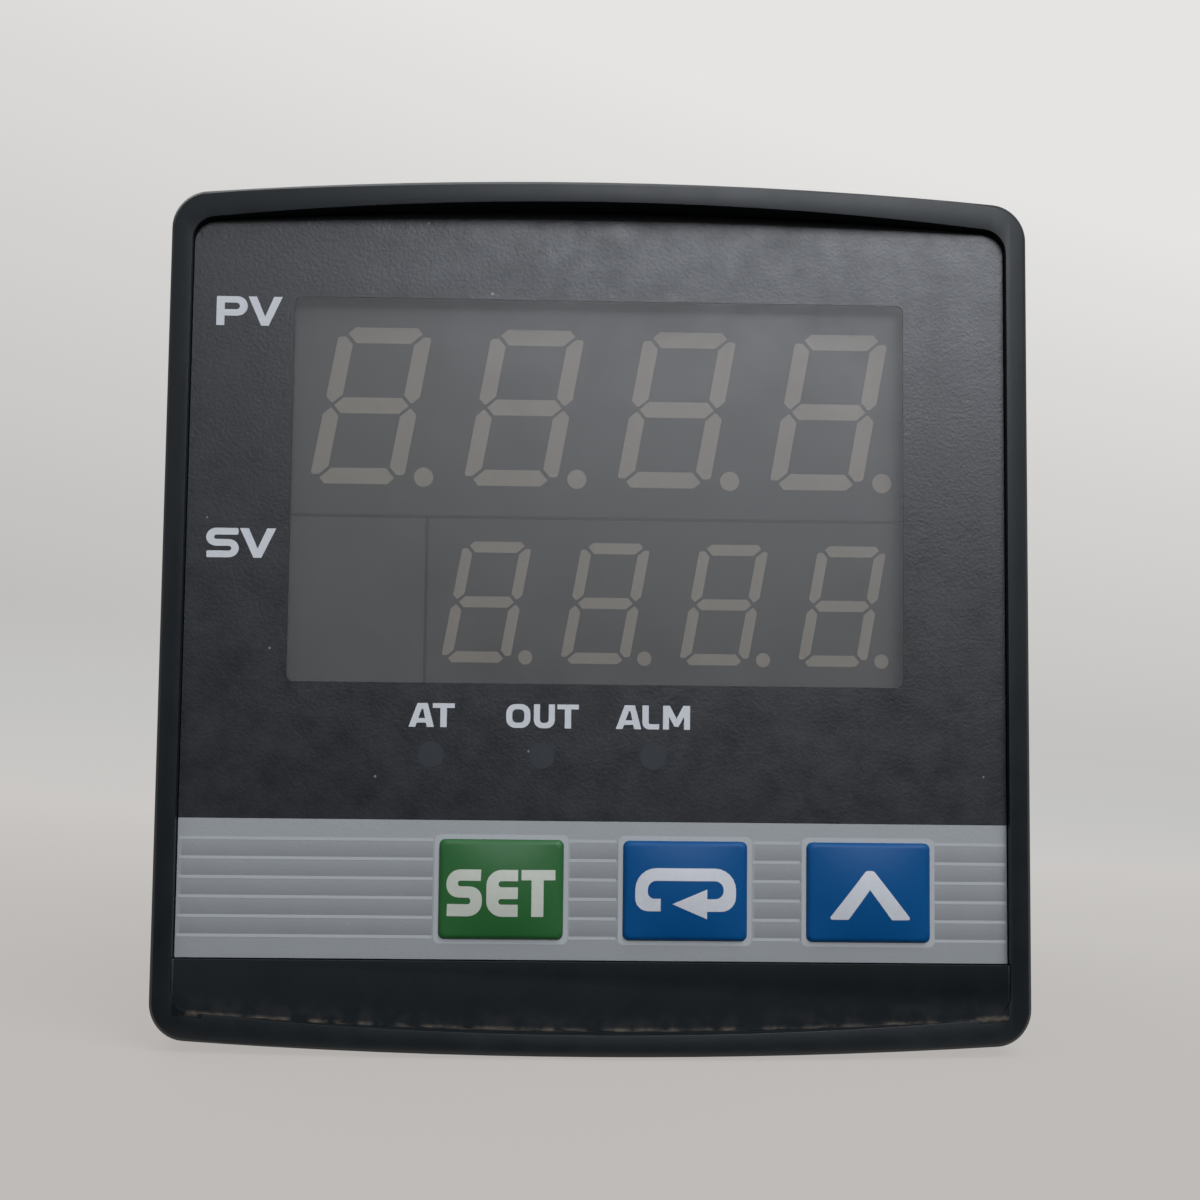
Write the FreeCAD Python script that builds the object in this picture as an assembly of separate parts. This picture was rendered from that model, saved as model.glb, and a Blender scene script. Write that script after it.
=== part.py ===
"""Panel-mounted PID temperature controller, 72 mm square, modelled as an assembly of separate pieces.

Millimetres. +X is right as seen from the front, +Z is up, and the face looks towards -Y.
The origin is the middle of the panel cut-out, on the panel's front face, where the bezel's flange seats.
"""

import FreeCAD
import Part

import math
import os

V = FreeCAD.Vector

# ---------------------------------------------------------------- bezel
bezel_width = 72.0
bezel_height = 71.5  # at the middle of the bowed top and bottom edges
bezel_bow = 0.8  # how far those edges rise from corner to middle
bezel_thickness = 11.5  # from the panel to the crown's highest line
bezel_corner_radius = 3.0
crown_radius = 263.0  # the front is part of a cylinder about a vertical axis
outer_edge_chamfer = 0.3
rim_width_side = 1.8
rim_width_top = 1.75
recess_bow = 1.3
recess_corner_radius = 2.0
recess_depth = 3.0  # from the crown's highest line down to the film's front
ledge_rise = 0.5  # the bare ledge under the film stands this far above the film
face_plate = 2.0  # wall left behind the film
skirt_gap = 0.2  # between the housing's front end and the bezel's skirt
socket_depth = 4.7  # how far the housing's front end goes into the bezel

# ---------------------------------------------------------------- front film and its keys
film_thickness = 0.5
film_gap_side = 0.1
film_gap_top = 0.1
film_bottom_z = -28.45
key_width = 10.2
key_height = 8.1
key_pitch = 15.1
key_row_x = 7.5  # middle key
key_row_z = -22.75
key_corner_radius = 0.5
key_gap = 0.1  # all round the key in the film
key_emboss = 0.35  # how far the key's top stands out of the film
key_bevel = 0.2  # round the key's top
key_travel = 0.3
key_skirt_lip = 0.9  # flange that keeps the key behind the face plate
key_skirt_thickness = 0.8
key_play = 0.05  # between that flange and the face plate
key_plunger_radius = 1.9

# ---------------------------------------------------------------- display window
window_side_overlap = 0.4  # how far the displays reach past the window's edges, so that no gap shows
window_top_overlap = 0.4
window_bottom_overlap = 0.1
window_corner_radius = 0.6
window_fit = 0.02
window_flange = 1.0  # the pane's border behind the film
window_thickness = 1.6

# ---------------------------------------------------------------- seven-segment displays
display_face_gap = 0.2  # behind the window pane
display_depth = 8.0
display_slant = 10.0  # degrees
display_gap = 0.3  # between the displays and the blank
segment_gap = 0.12  # from each bar's point to the line that its neighbour lies on
segment_shift = 0.25  # how far an outer bar's point lies outwards, as a share of half its stroke
segment_inlay = 0.5  # depth of the diffuser cast in the face
point_drop = 0.2  # how far a point reaches below its digit, as a share of its radius
digits = 4

pv_width = 52.0
pv_height = 18.5
pv_centre_z = 17.55
pv_digit_height = 13.4
pv_digit_width = 7.9
pv_stroke = 1.36
pv_pitch = 12.95
pv_first_x = -19.25
pv_point_radius = 0.82

sv_width = 40.2
sv_height = 14.0
sv_digit_height = 10.2
sv_digit_width = 5.8
sv_stroke = 0.93
sv_pitch = 10.0
sv_first_x = -9.25
sv_point_radius = 0.6
blank_wall = 1.2

# ---------------------------------------------------------------- indicator lamps
lamp_count = 3
lamp_pitch = 9.15
lamp_first_x = -13.55
lamp_z = -11.8
lamp_radius = 1.5
lamp_tip_radius = 1.0
lamp_tip_length = 0.7
lamp_collar_radius = 1.9
lamp_collar_thickness = 1.0
lamp_hole_gap = 0.1

# ---------------------------------------------------------------- boards
board_thickness = 1.6
front_board_side_gap = 1.0  # to the housing's inner wall
front_board_top_gap = 2.2  # leaves room for the snap hooks
board_rest = 1.5  # how far each corner of the front board lies on its ledge
side_board_inset = 5.5  # from the housing's inner wall to the middle of each side board
side_board_top_gap = 0.5
side_board_front_gap = 1.6  # behind the front board
side_board_rear_gap = 1.0  # in front of the terminal block's spigot
guide_rib_height = 2.0
guide_rib_thickness = 1.2
guide_slot_gap = 0.1  # each side of the board in its slot

pin_size = 0.5
pin_reach = 1.8
pin_pitch = 2.54
pin_count = 6  # in each row of a display's pins
header_width = 2.5
header_length = 25.4

# ---------------------------------------------------------------- parts on the side boards
core_length = 17.0
core_height = 15.0
core_thickness = 6.0
core_limb = 3.6
bobbin_flange = 12.0
winding_radius = 5.2
coil_overlap = 1.0  # how far the cuts for the limbs run past the coil's ends
transformer_from_front = 25.5  # from the board's front edge to the transformer's middle
transformer_z = -4.0
transformer_stand = 3.0
bulk_can_radius = 5.0
bulk_can_length = 16.0
bulk_can_from_front = 9.5
bulk_can_z = 14.0
output_can_radius = 4.0
output_can_length = 12.0
small_can_radius = 3.15
small_can_length = 11.0
rear_cans_from_rear = 16.0  # from the board's rear edge to their middles
output_can_z = 12.0
small_can_z = 22.0
can_bevel = 0.6
fuse_height = 4.0
fuse_length = 10.0
fuse_width = 8.0
fuse_from_rear = 6.0
fuse_z = -16.0
fuse_edge_radius = 0.8
optocoupler_height = 3.5
optocoupler_length = 6.4
optocoupler_width = 4.6
optocoupler_from_front = 7.5
optocoupler_zs = (-9.7, -1.7)
processor_size = 10.0
processor_height = 1.4
processor_from_front = 9.5
processor_z = 0.0
relay_length = 19.0
relay_width = 15.4
relay_height = 15.0
relay_from_front = 29.5
relay_edge_radius = 0.6
output_relay_z = 12.0
alarm_relay_z = -8.0

# ---------------------------------------------------------------- housing
housing_width = 67.0
housing_height = 67.0
housing_wall = 2.0
housing_corner_radius = 1.5
housing_rear_y = 72.0
vent_count = 9
vent_pitch = 4.4
vent_width = 2.0
vent_length = 24.0
vent_centre_y = 46.0
bracket_slot_width = 9.0
bracket_slot_length = 3.4
bracket_slot_x = 22.0
bracket_slot_y = 21.0

# ---------------------------------------------------------------- snap hooks between bezel and housing
hook_x = 14.0
hook_width = 8.0
hook_thickness = 1.5
hook_gap = 0.2  # between the hook's arm and the housing's inner wall
hook_nib_start_y = 3.8
hook_nib_end_y = 6.6
hook_nib_height = 1.5
hook_window_gap = 0.3

# ---------------------------------------------------------------- terminal block
block_depth = 14.0  # behind the housing
spigot_length = 5.0
spigot_gap = 0.15
spigot_wall = 2.0
well_count = 7  # in each of the two columns
well_pitch = 8.6
well_width = 7.0
well_depth = 10.0  # from the rear face down to the well's floor
well_reach = 9.2  # from the block's side inwards
plate_thickness = 1.0
plate_height = 6.2
plate_length = 7.6
tail_width = 2.4
tail_thickness = 0.8
tail_lap = 4.0  # how far each tail reaches along its side board
washer_size = 6.0
washer_thickness = 0.8
screw_radius = 1.45
screw_length = 5.0
screw_head_radius = 2.8
screw_head_height = 2.0
screw_inset = 4.3  # from the block's side to the screw's axis
screw_hole_gap = 0.15
pocket_gap = 0.25
cross_slot_width = 0.8
cross_slot_length = 3.6
cross_slot_depth = 1.1

# ---------------------------------------------------------------- tactile switches
switch_size = 6.0
switch_height = 3.5
switch_stem_radius = 1.75
switch_stem_proud = 1.4
switch_bore_depth = 1.2
switch_bore_gap = 0.08

# ---------------------------------------------------------------- worked out from the above
half_width = bezel_width / 2
half_height = bezel_height / 2
film_front_y = -(bezel_thickness - recess_depth)
film_back_y = film_front_y + film_thickness
plate_back_y = film_back_y + face_plate
ledge_y = film_front_y - ledge_rise
recess_half_width = half_width - rim_width_side
recess_half_height = half_height - rim_width_top
inner_half_width = housing_width / 2 - housing_wall
inner_half_height = housing_height / 2 - housing_wall
sv_right_x = pv_width / 2
sv_centre_z = pv_centre_z - pv_height / 2 - display_gap - sv_height / 2
window_half_width = pv_width / 2 - window_side_overlap
window_top_z = pv_centre_z + pv_height / 2 - window_top_overlap
window_bottom_z = sv_centre_z - sv_height / 2 + window_bottom_overlap
window_back_y = film_front_y + window_thickness
display_face_y = window_back_y + display_face_gap
front_board_y = display_face_y + display_depth
front_board_back_y = front_board_y + board_thickness
front_board_half_width = inner_half_width - front_board_side_gap
front_board_half_height = inner_half_height - front_board_top_gap
side_board_x = inner_half_width - side_board_inset
side_board_half_height = inner_half_height - side_board_top_gap
side_board_front_y = front_board_back_y + side_board_front_gap
side_board_rear_y = housing_rear_y - spigot_length - side_board_rear_gap
left_face_x = -(side_board_x - board_thickness / 2)
right_face_x = side_board_x - board_thickness / 2
housing_front_y = -socket_depth + skirt_gap
block_rear_y = housing_rear_y + block_depth
well_floor_y = block_rear_y - well_depth
screw_x = housing_width / 2 - screw_inset
tail_end_y = side_board_rear_y - tail_lap
key_centres = [key_row_x + key_pitch * step for step in (-1, 0, 1)]
lamp_centres = [lamp_first_x + lamp_pitch * step for step in range(lamp_count)]
well_centres = [well_pitch * (row - (well_count - 1) / 2) for row in range(well_count)]


def block(x0, x1, y0, y1, z0, z1):
    """A box between two corners."""
    return Part.makeBox(x1 - x0, y1 - y0, z1 - z0, V(x0, y0, z0))


def rod(radius, x, z, y0, y1):
    """A round bar along Y."""
    return Part.makeCylinder(radius, y1 - y0, V(x, y0, z), V(0, 1, 0))


def fused(solids):
    """One solid out of several that touch or overlap."""
    return solids[0].multiFuse(solids[1:]).removeSplitter()


def edges_along_y(shape, shortest):
    """The straight edges that run along Y and are at least this long."""
    found = []
    for edge in shape.Edges:
        if isinstance(edge.Curve, Part.Line) and abs(edge.tangentAt(edge.FirstParameter).y) > 0.999:
            if edge.Length > shortest:
                found.append(edge)
    return found


def rounded_block(x0, x1, y0, y1, z0, z1, radius):
    """A box whose four edges along Y are rounded."""
    solid = block(x0, x1, y0, y1, z0, z1)
    return solid.makeFillet(radius, edges_along_y(solid, 0.0))


def barrel_block(half_x, half_z, bow, radius, y0, y1):
    """A block along Y with straight sides and bowed top and bottom, half_z high at the middle."""
    side_z = half_z - bow
    corners = [V(-half_x, y0, side_z), V(half_x, y0, side_z), V(half_x, y0, -side_z), V(-half_x, y0, -side_z)]
    outline = [
        Part.Arc(corners[0], V(0, y0, half_z), corners[1]).toShape(),
        Part.LineSegment(corners[1], corners[2]).toShape(),
        Part.Arc(corners[2], V(0, y0, -half_z), corners[3]).toShape(),
        Part.LineSegment(corners[3], corners[0]).toShape(),
    ]
    solid = Part.Face(Part.Wire(outline)).extrude(V(0, y1 - y0, 0))
    return solid.makeFillet(radius, edges_along_y(solid, 0.0))


def key_openings(gap, y0, y1):
    """Three rounded cutters, one for each key, wider than the key by gap all round."""
    half_x = key_width / 2 + gap
    half_z = key_height / 2 + gap
    return [
        rounded_block(
            x - half_x, x + half_x, y0, y1, key_row_z - half_z, key_row_z + half_z, key_corner_radius + gap
        )
        for x in key_centres
    ]


# ================================================================ bezel
def to_corner(shape, side_x, side_z):
    """Mirrors what is drawn for the top right to the corner with these signs."""
    if side_x < 0:
        shape = shape.mirror(V(0, 0, 0), V(1, 0, 0))
    if side_z < 0:
        shape = shape.mirror(V(0, 0, 0), V(0, 0, 1))
    return shape


def corner_ledge():
    """The square post that a corner of the front board rests on."""
    return block(
        front_board_half_width - board_rest,
        inner_half_width - hook_gap,
        plate_back_y,
        front_board_y,
        front_board_half_height - board_rest,
        inner_half_height - hook_gap,
    )


def hook():
    """The snap hook near the top right: a springy arm with a ramped nib."""
    outer_z = inner_half_height - hook_gap
    inner_z = outer_z - hook_thickness
    tip_y = hook_nib_end_y + hook_thickness
    x0 = hook_x - hook_width / 2
    arm = block(x0, x0 + hook_width, plate_back_y, tip_y, inner_z, outer_z)
    wedge = Part.makePolygon(
        [
            V(x0, hook_nib_start_y, outer_z),
            V(x0, hook_nib_start_y, outer_z + hook_nib_height),
            V(x0, hook_nib_end_y, outer_z),
            V(x0, hook_nib_start_y, outer_z),
        ]
    )
    nib = Part.Face(wedge).extrude(V(hook_width, 0, 0))
    return fused([arm, nib])


def make_bezel():
    """The front moulding: crowned, bowed rim round a flat recess, with a skirt, ledges and four hooks."""
    body = barrel_block(half_width, half_height, bezel_bow, bezel_corner_radius, -bezel_thickness, 0)
    crown_axis_y = crown_radius - bezel_thickness
    drum = Part.makeCylinder(crown_radius, 2 * bezel_height, V(0, crown_axis_y, -bezel_height), V(0, 0, 1))
    body = body.common(drum)
    front = [e for e in body.Edges if e.BoundBox.YMax < -bezel_thickness * 0.7]
    body = body.makeChamfer(outer_edge_chamfer, front)

    ledge = barrel_block(
        recess_half_width, recess_half_height, recess_bow, recess_corner_radius, -2 * bezel_thickness, ledge_y
    )
    film_bed = barrel_block(
        recess_half_width,
        recess_half_height,
        recess_bow,
        recess_corner_radius,
        -2 * bezel_thickness,
        film_back_y,
    )
    above_ledge = block(
        -bezel_width, bezel_width, -2 * bezel_thickness, 0, film_bottom_z - film_gap_top, bezel_height
    )
    body = body.cut([ledge, film_bed.common(above_ledge)])

    socket_x = housing_width / 2 + skirt_gap
    socket_z = housing_height / 2 + skirt_gap
    socket = rounded_block(
        -socket_x, socket_x, -socket_depth, 1, -socket_z, socket_z, housing_corner_radius + skirt_gap
    )
    cavity = block(
        -inner_half_width, inner_half_width, plate_back_y, 1, -inner_half_height, inner_half_height
    )
    body = body.cut([socket, cavity])

    opening = block(
        -window_half_width - window_flange,
        window_half_width + window_flange,
        -bezel_thickness,
        0,
        window_bottom_z - window_flange,
        window_top_z + window_flange,
    )
    lamp_holes = [
        rod(lamp_radius + lamp_hole_gap, x, lamp_z, film_back_y - 1, 0) for x in lamp_centres
    ]
    body = body.cut([opening] + lamp_holes + key_openings(2 * key_gap, -bezel_thickness, 0))

    corners = [(sx, sz) for sx in (-1, 1) for sz in (-1, 1)]
    ledges = [to_corner(corner_ledge(), sx, sz) for sx, sz in corners]
    hooks = [to_corner(hook(), sx, sz) for sx, sz in corners]
    return fused([body] + ledges + hooks)


def make_film():
    """The printed film: it lies in the recess, die-cut for the window and the three keys."""
    film = barrel_block(
        recess_half_width - film_gap_side,
        recess_half_height - film_gap_top,
        recess_bow,
        recess_corner_radius - film_gap_top,
        film_front_y,
        film_back_y,
    )
    below = block(-bezel_width, bezel_width, -bezel_thickness, 0, -bezel_height, film_bottom_z)
    die_cut = rounded_block(
        -window_half_width,
        window_half_width,
        -bezel_thickness,
        0,
        window_bottom_z,
        window_top_z,
        window_corner_radius,
    )
    return film.cut([below, die_cut] + key_openings(key_gap, -bezel_thickness, 0))


def make_window():
    """The smoked pane: a boss flush with the film's front, and a border that the film is glued to."""
    pane = rounded_block(
        -window_half_width + window_fit,
        window_half_width - window_fit,
        film_front_y,
        window_back_y,
        window_bottom_z + window_fit,
        window_top_z - window_fit,
        window_corner_radius,
    )
    reach = window_flange - window_fit
    flange = block(
        -window_half_width - reach,
        window_half_width + reach,
        film_back_y,
        window_back_y,
        window_bottom_z - reach,
        window_top_z + reach,
    )
    return fused([pane, flange])


# ================================================================ keys and their switches
def make_key(x):
    """One key: a pillowed pad in the film, a retaining flange behind the face plate, and a plunger."""
    top_y = film_front_y - key_emboss
    flange_y = plate_back_y + key_play
    half_x = key_width / 2
    half_z = key_height / 2
    pad = rounded_block(
        x - half_x, x + half_x, top_y, flange_y, key_row_z - half_z, key_row_z + half_z, key_corner_radius
    )
    rim = [e for e in pad.Edges if e.BoundBox.YMax < top_y + 0.01]
    pad = pad.makeChamfer(key_bevel, rim)
    lip_x = half_x + key_skirt_lip
    lip_z = half_z + key_skirt_lip
    lip_back_y = flange_y + key_skirt_thickness
    lip = block(x - lip_x, x + lip_x, flange_y, lip_back_y, key_row_z - lip_z, key_row_z + lip_z)
    plunger = rod(key_plunger_radius, x, key_row_z, lip_back_y, stem_top_y())
    return fused([pad, lip, plunger])


def stem_top_y():
    """Where a key's plunger meets its switch stem."""
    return front_board_y - switch_height - switch_stem_proud


def make_switch_stem(x):
    """The switch's own button, which rides with the key."""
    foot_y = front_board_y - switch_height + switch_bore_depth - key_travel - switch_bore_gap
    return rod(switch_stem_radius, x, key_row_z, stem_top_y(), foot_y)


def make_switch_bodies():
    """The three switch cases on the front board, each bored for its stem."""
    half = switch_size / 2
    top_y = front_board_y - switch_height
    bodies = []
    for x in key_centres:
        case = block(x - half, x + half, top_y, front_board_y, key_row_z - half, key_row_z + half)
        bore = rod(switch_stem_radius + switch_bore_gap, x, key_row_z, top_y - 1, top_y + switch_bore_depth)
        bodies.append(case.cut(bore))
    return Part.makeCompound(bodies)


# ================================================================ displays
def segment_outlines(height, width, stroke):
    """The seven segments of an upright digit about its middle, each as a list of (x, z) corners."""
    half = stroke / 2
    reach_x = width / 2 - half  # centre lines of the side bars
    reach_z = height / 2 - half  # centre lines of the top and bottom bars
    shift = half * segment_shift

    def level_bar(z, point_z):
        """A level bar, cut at 45 degrees to a point at each end; an outer bar's points lie outwards."""
        tip = reach_x - segment_gap
        return [
            (-tip, z + point_z),
            (-tip + half - point_z, z + half),
            (tip - half + point_z, z + half),
            (tip, z + point_z),
            (tip - half - point_z, z - half),
            (-tip + half + point_z, z - half),
        ]

    def side_bar(sx, sz):
        """An upright bar: full bevels on its inner side, and its outer corners only trimmed."""
        near = 2 * segment_gap
        far = reach_z - segment_gap
        corners = [
            (0, near),
            (shift, near),
            (half, near + half - shift),
            (half, far - shift),
            (half - shift, far),
            (0, far),
            (-half, far - half),
            (-half, near + half),
        ]
        return [(sx * (reach_x + out), sz * up) for out, up in corners]

    level = [level_bar(reach_z, shift), level_bar(0, 0), level_bar(-reach_z, -shift)]
    return level + [side_bar(sx, sz) for sx in (-1, 1) for sz in (-1, 1)]


def slanted(points, x, z):
    """Leans an upright outline to the right and moves it to its digit."""
    lean = math.tan(math.radians(display_slant))
    return [(x + px + pz * lean, z + pz) for px, pz in points]


def bar(points, y0, y1):
    """A flat bar of that outline between two depths."""
    loop = [V(px, y0, pz) for px, pz in points]
    return Part.Face(Part.makePolygon(loop + loop[:1])).extrude(V(0, y1 - y0, 0))


def digit_inlays(height, width, stroke, first_x, pitch, centre_z, point_radius):
    """The diffusers of one display: seven bars and a point for each digit."""
    lean = math.tan(math.radians(display_slant))
    y0 = display_face_y
    y1 = display_face_y + segment_inlay
    point_z = centre_z - height / 2 + point_radius * (1 - point_drop)
    inlays = []
    for place in range(digits):
        x = first_x + pitch * place
        for outline in segment_outlines(height, width, stroke):
            inlays.append(bar(slanted(outline, x, centre_z), y0, y1))
        point_x = x - lean * height / 2 + width / 2 + 2 * point_radius + segment_gap
        inlays.append(rod(point_radius, point_x, point_z, y0, y1))
    return inlays


def make_display(x0, x1, centre_z, height, inlays):
    """A display's case with its diffusers' pockets, and the diffusers as one group."""
    case = block(
        x0, x1, display_face_y, front_board_y, centre_z - height / 2, centre_z + height / 2
    )
    return case.cut(inlays), Part.makeCompound(inlays)


def make_pv_display():
    """The upper, larger display, for the measured value."""
    inlays = digit_inlays(
        pv_digit_height, pv_digit_width, pv_stroke, pv_first_x, pv_pitch, pv_centre_z, pv_point_radius
    )
    return make_display(-pv_width / 2, pv_width / 2, pv_centre_z, pv_height, inlays)


def make_sv_display():
    """The lower, smaller display, for the set value."""
    inlays = digit_inlays(
        sv_digit_height, sv_digit_width, sv_stroke, sv_first_x, sv_pitch, sv_centre_z, sv_point_radius
    )
    return make_display(sv_right_x - sv_width, sv_right_x, sv_centre_z, sv_height, inlays)


def make_display_blank():
    """The hollow block that fills the window beside the lower display."""
    x0 = -pv_width / 2
    x1 = sv_right_x - sv_width - display_gap
    z0 = sv_centre_z - sv_height / 2
    z1 = sv_centre_z + sv_height / 2
    shell = block(x0, x1, display_face_y, front_board_y, z0, z1)
    hollow = block(
        x0 + blank_wall,
        x1 - blank_wall,
        display_face_y + blank_wall,
        front_board_y,
        z0 + blank_wall,
        z1 - blank_wall,
    )
    return shell.cut(hollow)


def make_lamps():
    """The three indicator lamps: a blunt round lens on a collar, standing on the front board."""
    tip_y = film_back_y + lamp_hole_gap
    lamps = []
    for x in lamp_centres:
        tip = Part.makeCone(lamp_tip_radius, lamp_radius, lamp_tip_length, V(x, tip_y, lamp_z), V(0, 1, 0))
        barrel = rod(lamp_radius, x, lamp_z, tip_y + lamp_tip_length, front_board_y)
        collar_front_y = front_board_y - 3 * lamp_collar_thickness
        collar = rod(
            lamp_collar_radius, x, lamp_z, collar_front_y, collar_front_y + lamp_collar_thickness
        )
        lamps.append(fused([tip, barrel, collar]))
    return Part.makeCompound(lamps)


# ================================================================ boards
def make_front_board():
    """The board behind the displays."""
    return block(
        -front_board_half_width,
        front_board_half_width,
        front_board_y,
        front_board_back_y,
        -front_board_half_height,
        front_board_half_height,
    )


def make_display_pins():
    """The displays' pins where they come out at the back of the front board."""
    pins = []
    sv_centre_x = sv_right_x - sv_width / 2
    rows = [
        (0, pv_centre_z + pv_height / 2 - pin_pitch),
        (0, pv_centre_z - pv_height / 2 + pin_pitch),
        (sv_centre_x, sv_centre_z + sv_height / 2 - pin_pitch),
        (sv_centre_x, sv_centre_z - sv_height / 2 + pin_pitch),
    ]
    y0 = front_board_back_y
    half = pin_size / 2
    for centre_x, z in rows:
        for place in range(pin_count):
            x = centre_x + pin_pitch * (place - (pin_count - 1) / 2)
            pins.append(block(x - half, x + half, y0, y0 + pin_reach, z - half, z + half))
    return Part.makeCompound(pins)


def make_side_board(side):
    """A board on edge in the housing's guide slots: side is -1 for the left and 1 for the right."""
    x = side * side_board_x
    half = board_thickness / 2
    return block(
        x - half,
        x + half,
        side_board_front_y,
        side_board_rear_y,
        -side_board_half_height,
        side_board_half_height,
    )


def make_headers():
    """The two right-angle headers that join the front board to the side boards."""
    headers = [
        block(
            right_face_x - header_width,
            right_face_x,
            front_board_back_y,
            side_board_front_y + header_width,
            -header_length / 2,
            header_length / 2,
        )
    ]
    headers.append(headers[0].mirror(V(0, 0, 0), V(1, 0, 0)))
    return Part.makeCompound(headers)


# ================================================================ parts on the side boards
transformer_y = side_board_front_y + transformer_from_front


def make_transformer_core():
    """The ferrite core: a closed frame with its middle limb."""
    x0 = left_face_x + transformer_stand
    half_y = core_length / 2
    half_z = core_thickness / 2
    low_z = transformer_z - half_z
    high_z = transformer_z + half_z
    frame = block(x0, x0 + core_height, transformer_y - half_y, transformer_y + half_y, low_z, high_z)
    gap = (core_length - 3 * core_limb) / 2
    cuts = []
    for side in (-1, 1):
        middle = transformer_y + side * (core_limb + gap) / 2
        cuts.append(
            block(
                x0 + core_limb,
                x0 + core_height - core_limb,
                middle - gap / 2,
                middle + gap / 2,
                transformer_z - core_thickness,
                transformer_z + core_thickness,
            )
        )
    return frame.cut(cuts)


def make_transformer_coil():
    """The wound bobbin round the middle limb, flattened where it passes the outer limbs."""
    x0 = left_face_x + transformer_stand + core_limb
    x1 = left_face_x + transformer_stand + core_height - core_limb
    coil = Part.makeCylinder(winding_radius, x1 - x0, V(x0, transformer_y, transformer_z), V(1, 0, 0))
    limbs = []
    for place in (-1, 0, 1):
        middle = transformer_y + place * (core_length - core_limb) / 2
        limbs.append(
            block(
                x0 - coil_overlap,
                x1 + coil_overlap,
                middle - core_limb / 2,
                middle + core_limb / 2,
                transformer_z - core_thickness / 2,
                transformer_z + core_thickness / 2,
            )
        )
    return coil.cut(limbs)


def make_transformer_base():
    """The bobbin's pin base under the core."""
    half = bobbin_flange / 2
    return block(
        left_face_x,
        left_face_x + transformer_stand,
        transformer_y - core_length / 2,
        transformer_y + core_length / 2,
        transformer_z - half,
        transformer_z + half,
    )


def make_can(radius, length, y, z):
    """An electrolytic capacitor's can, standing on the left board."""
    can = Part.makeCylinder(radius, length, V(left_face_x, y, z), V(1, 0, 0))
    tip_x = left_face_x + length
    rim = [e for e in can.Edges if e.Closed and e.BoundBox.XMin > tip_x - can_bevel]
    return can.makeChamfer(can_bevel, rim)


def make_capacitors():
    """The electrolytic capacitors: the bulk can near the front and two smaller ones near the rear."""
    rear_y = side_board_rear_y - rear_cans_from_rear
    bulk_y = side_board_front_y + bulk_can_from_front
    cans = [
        make_can(bulk_can_radius, bulk_can_length, bulk_y, bulk_can_z),
        make_can(output_can_radius, output_can_length, rear_y, output_can_z),
        make_can(small_can_radius, small_can_length, rear_y, small_can_z),
    ]
    return Part.makeCompound(cans)


def make_fuse():
    """The fuse on the mains side of the left board."""
    rear_y = side_board_rear_y - fuse_from_rear
    half = fuse_width / 2
    body = block(
        left_face_x, left_face_x + fuse_height, rear_y - fuse_length, rear_y, fuse_z - half, fuse_z + half
    )
    return body.makeFillet(fuse_edge_radius, edges_along_y(body, fuse_length / 2))


def make_chips():
    """The two optocouplers on the left board and the processor on the right one."""
    y = side_board_front_y + optocoupler_from_front
    half = optocoupler_width / 2
    chips = [
        block(left_face_x, left_face_x + optocoupler_height, y, y + optocoupler_length, z - half, z + half)
        for z in optocoupler_zs
    ]
    y = side_board_front_y + processor_from_front
    half = processor_size / 2
    chips.append(
        block(
            right_face_x - processor_height,
            right_face_x,
            y,
            y + processor_size,
            processor_z - half,
            processor_z + half,
        )
    )
    return Part.makeCompound(chips)


def make_relay(centre_z):
    """A sealed relay on the right board."""
    y = side_board_front_y + relay_from_front
    half = relay_width / 2
    case = block(
        right_face_x - relay_height, right_face_x, y, y + relay_length, centre_z - half, centre_z + half
    )
    return case.makeFillet(relay_edge_radius, edges_along_y(case, relay_length / 2))


# ================================================================ housing
def guide_ribs():
    """Pairs of ribs on the roof and the floor that hold the side boards."""
    ribs = []
    slot_half = board_thickness / 2 + guide_slot_gap
    for sx in (-1, 1):
        for sz in (-1, 1):
            for edge in (-1, 1):
                inner = sx * side_board_x + edge * slot_half
                outer = inner + edge * guide_rib_thickness
                top = sz * (inner_half_height + housing_wall / 2)
                foot = sz * (inner_half_height - guide_rib_height)
                ribs.append(
                    block(
                        min(inner, outer),
                        max(inner, outer),
                        side_board_front_y + 4,
                        housing_rear_y - spigot_length - 1,
                        min(top, foot),
                        max(top, foot),
                    )
                )
    return ribs


def make_housing():
    """The rear case: a square sleeve with guide ribs, vents, bracket slots and windows for the hooks."""
    half_x = housing_width / 2
    half_z = housing_height / 2
    sleeve = rounded_block(
        -half_x, half_x, housing_front_y, housing_rear_y, -half_z, half_z, housing_corner_radius
    )
    bore = block(
        -inner_half_width,
        inner_half_width,
        housing_front_y - 1,
        housing_rear_y + 1,
        -inner_half_height,
        inner_half_height,
    )
    shell = fused([sleeve.cut(bore)] + guide_ribs())

    cutters = []
    for sz in (-1, 1):
        low = min(sz * (inner_half_height - 0.5), sz * (half_z + 1))
        high = max(sz * (inner_half_height - 0.5), sz * (half_z + 1))
        for column in range(vent_count):
            x = vent_pitch * (column - (vent_count - 1) / 2)
            cutters.append(
                block(
                    x - vent_width / 2,
                    x + vent_width / 2,
                    vent_centre_y - vent_length / 2,
                    vent_centre_y + vent_length / 2,
                    low,
                    high,
                )
            )
        for sx in (-1, 1):
            slot_x = sx * bracket_slot_x
            cutters.append(
                block(
                    slot_x - bracket_slot_width / 2,
                    slot_x + bracket_slot_width / 2,
                    bracket_slot_y,
                    bracket_slot_y + bracket_slot_length,
                    low,
                    high,
                )
            )
            window_x = sx * hook_x
            reach = hook_width / 2 + hook_window_gap
            cutters.append(
                block(
                    window_x - reach,
                    window_x + reach,
                    hook_nib_start_y - hook_window_gap,
                    hook_nib_end_y + hook_window_gap,
                    low,
                    high,
                )
            )
    return shell.cut(cutters)


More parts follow.
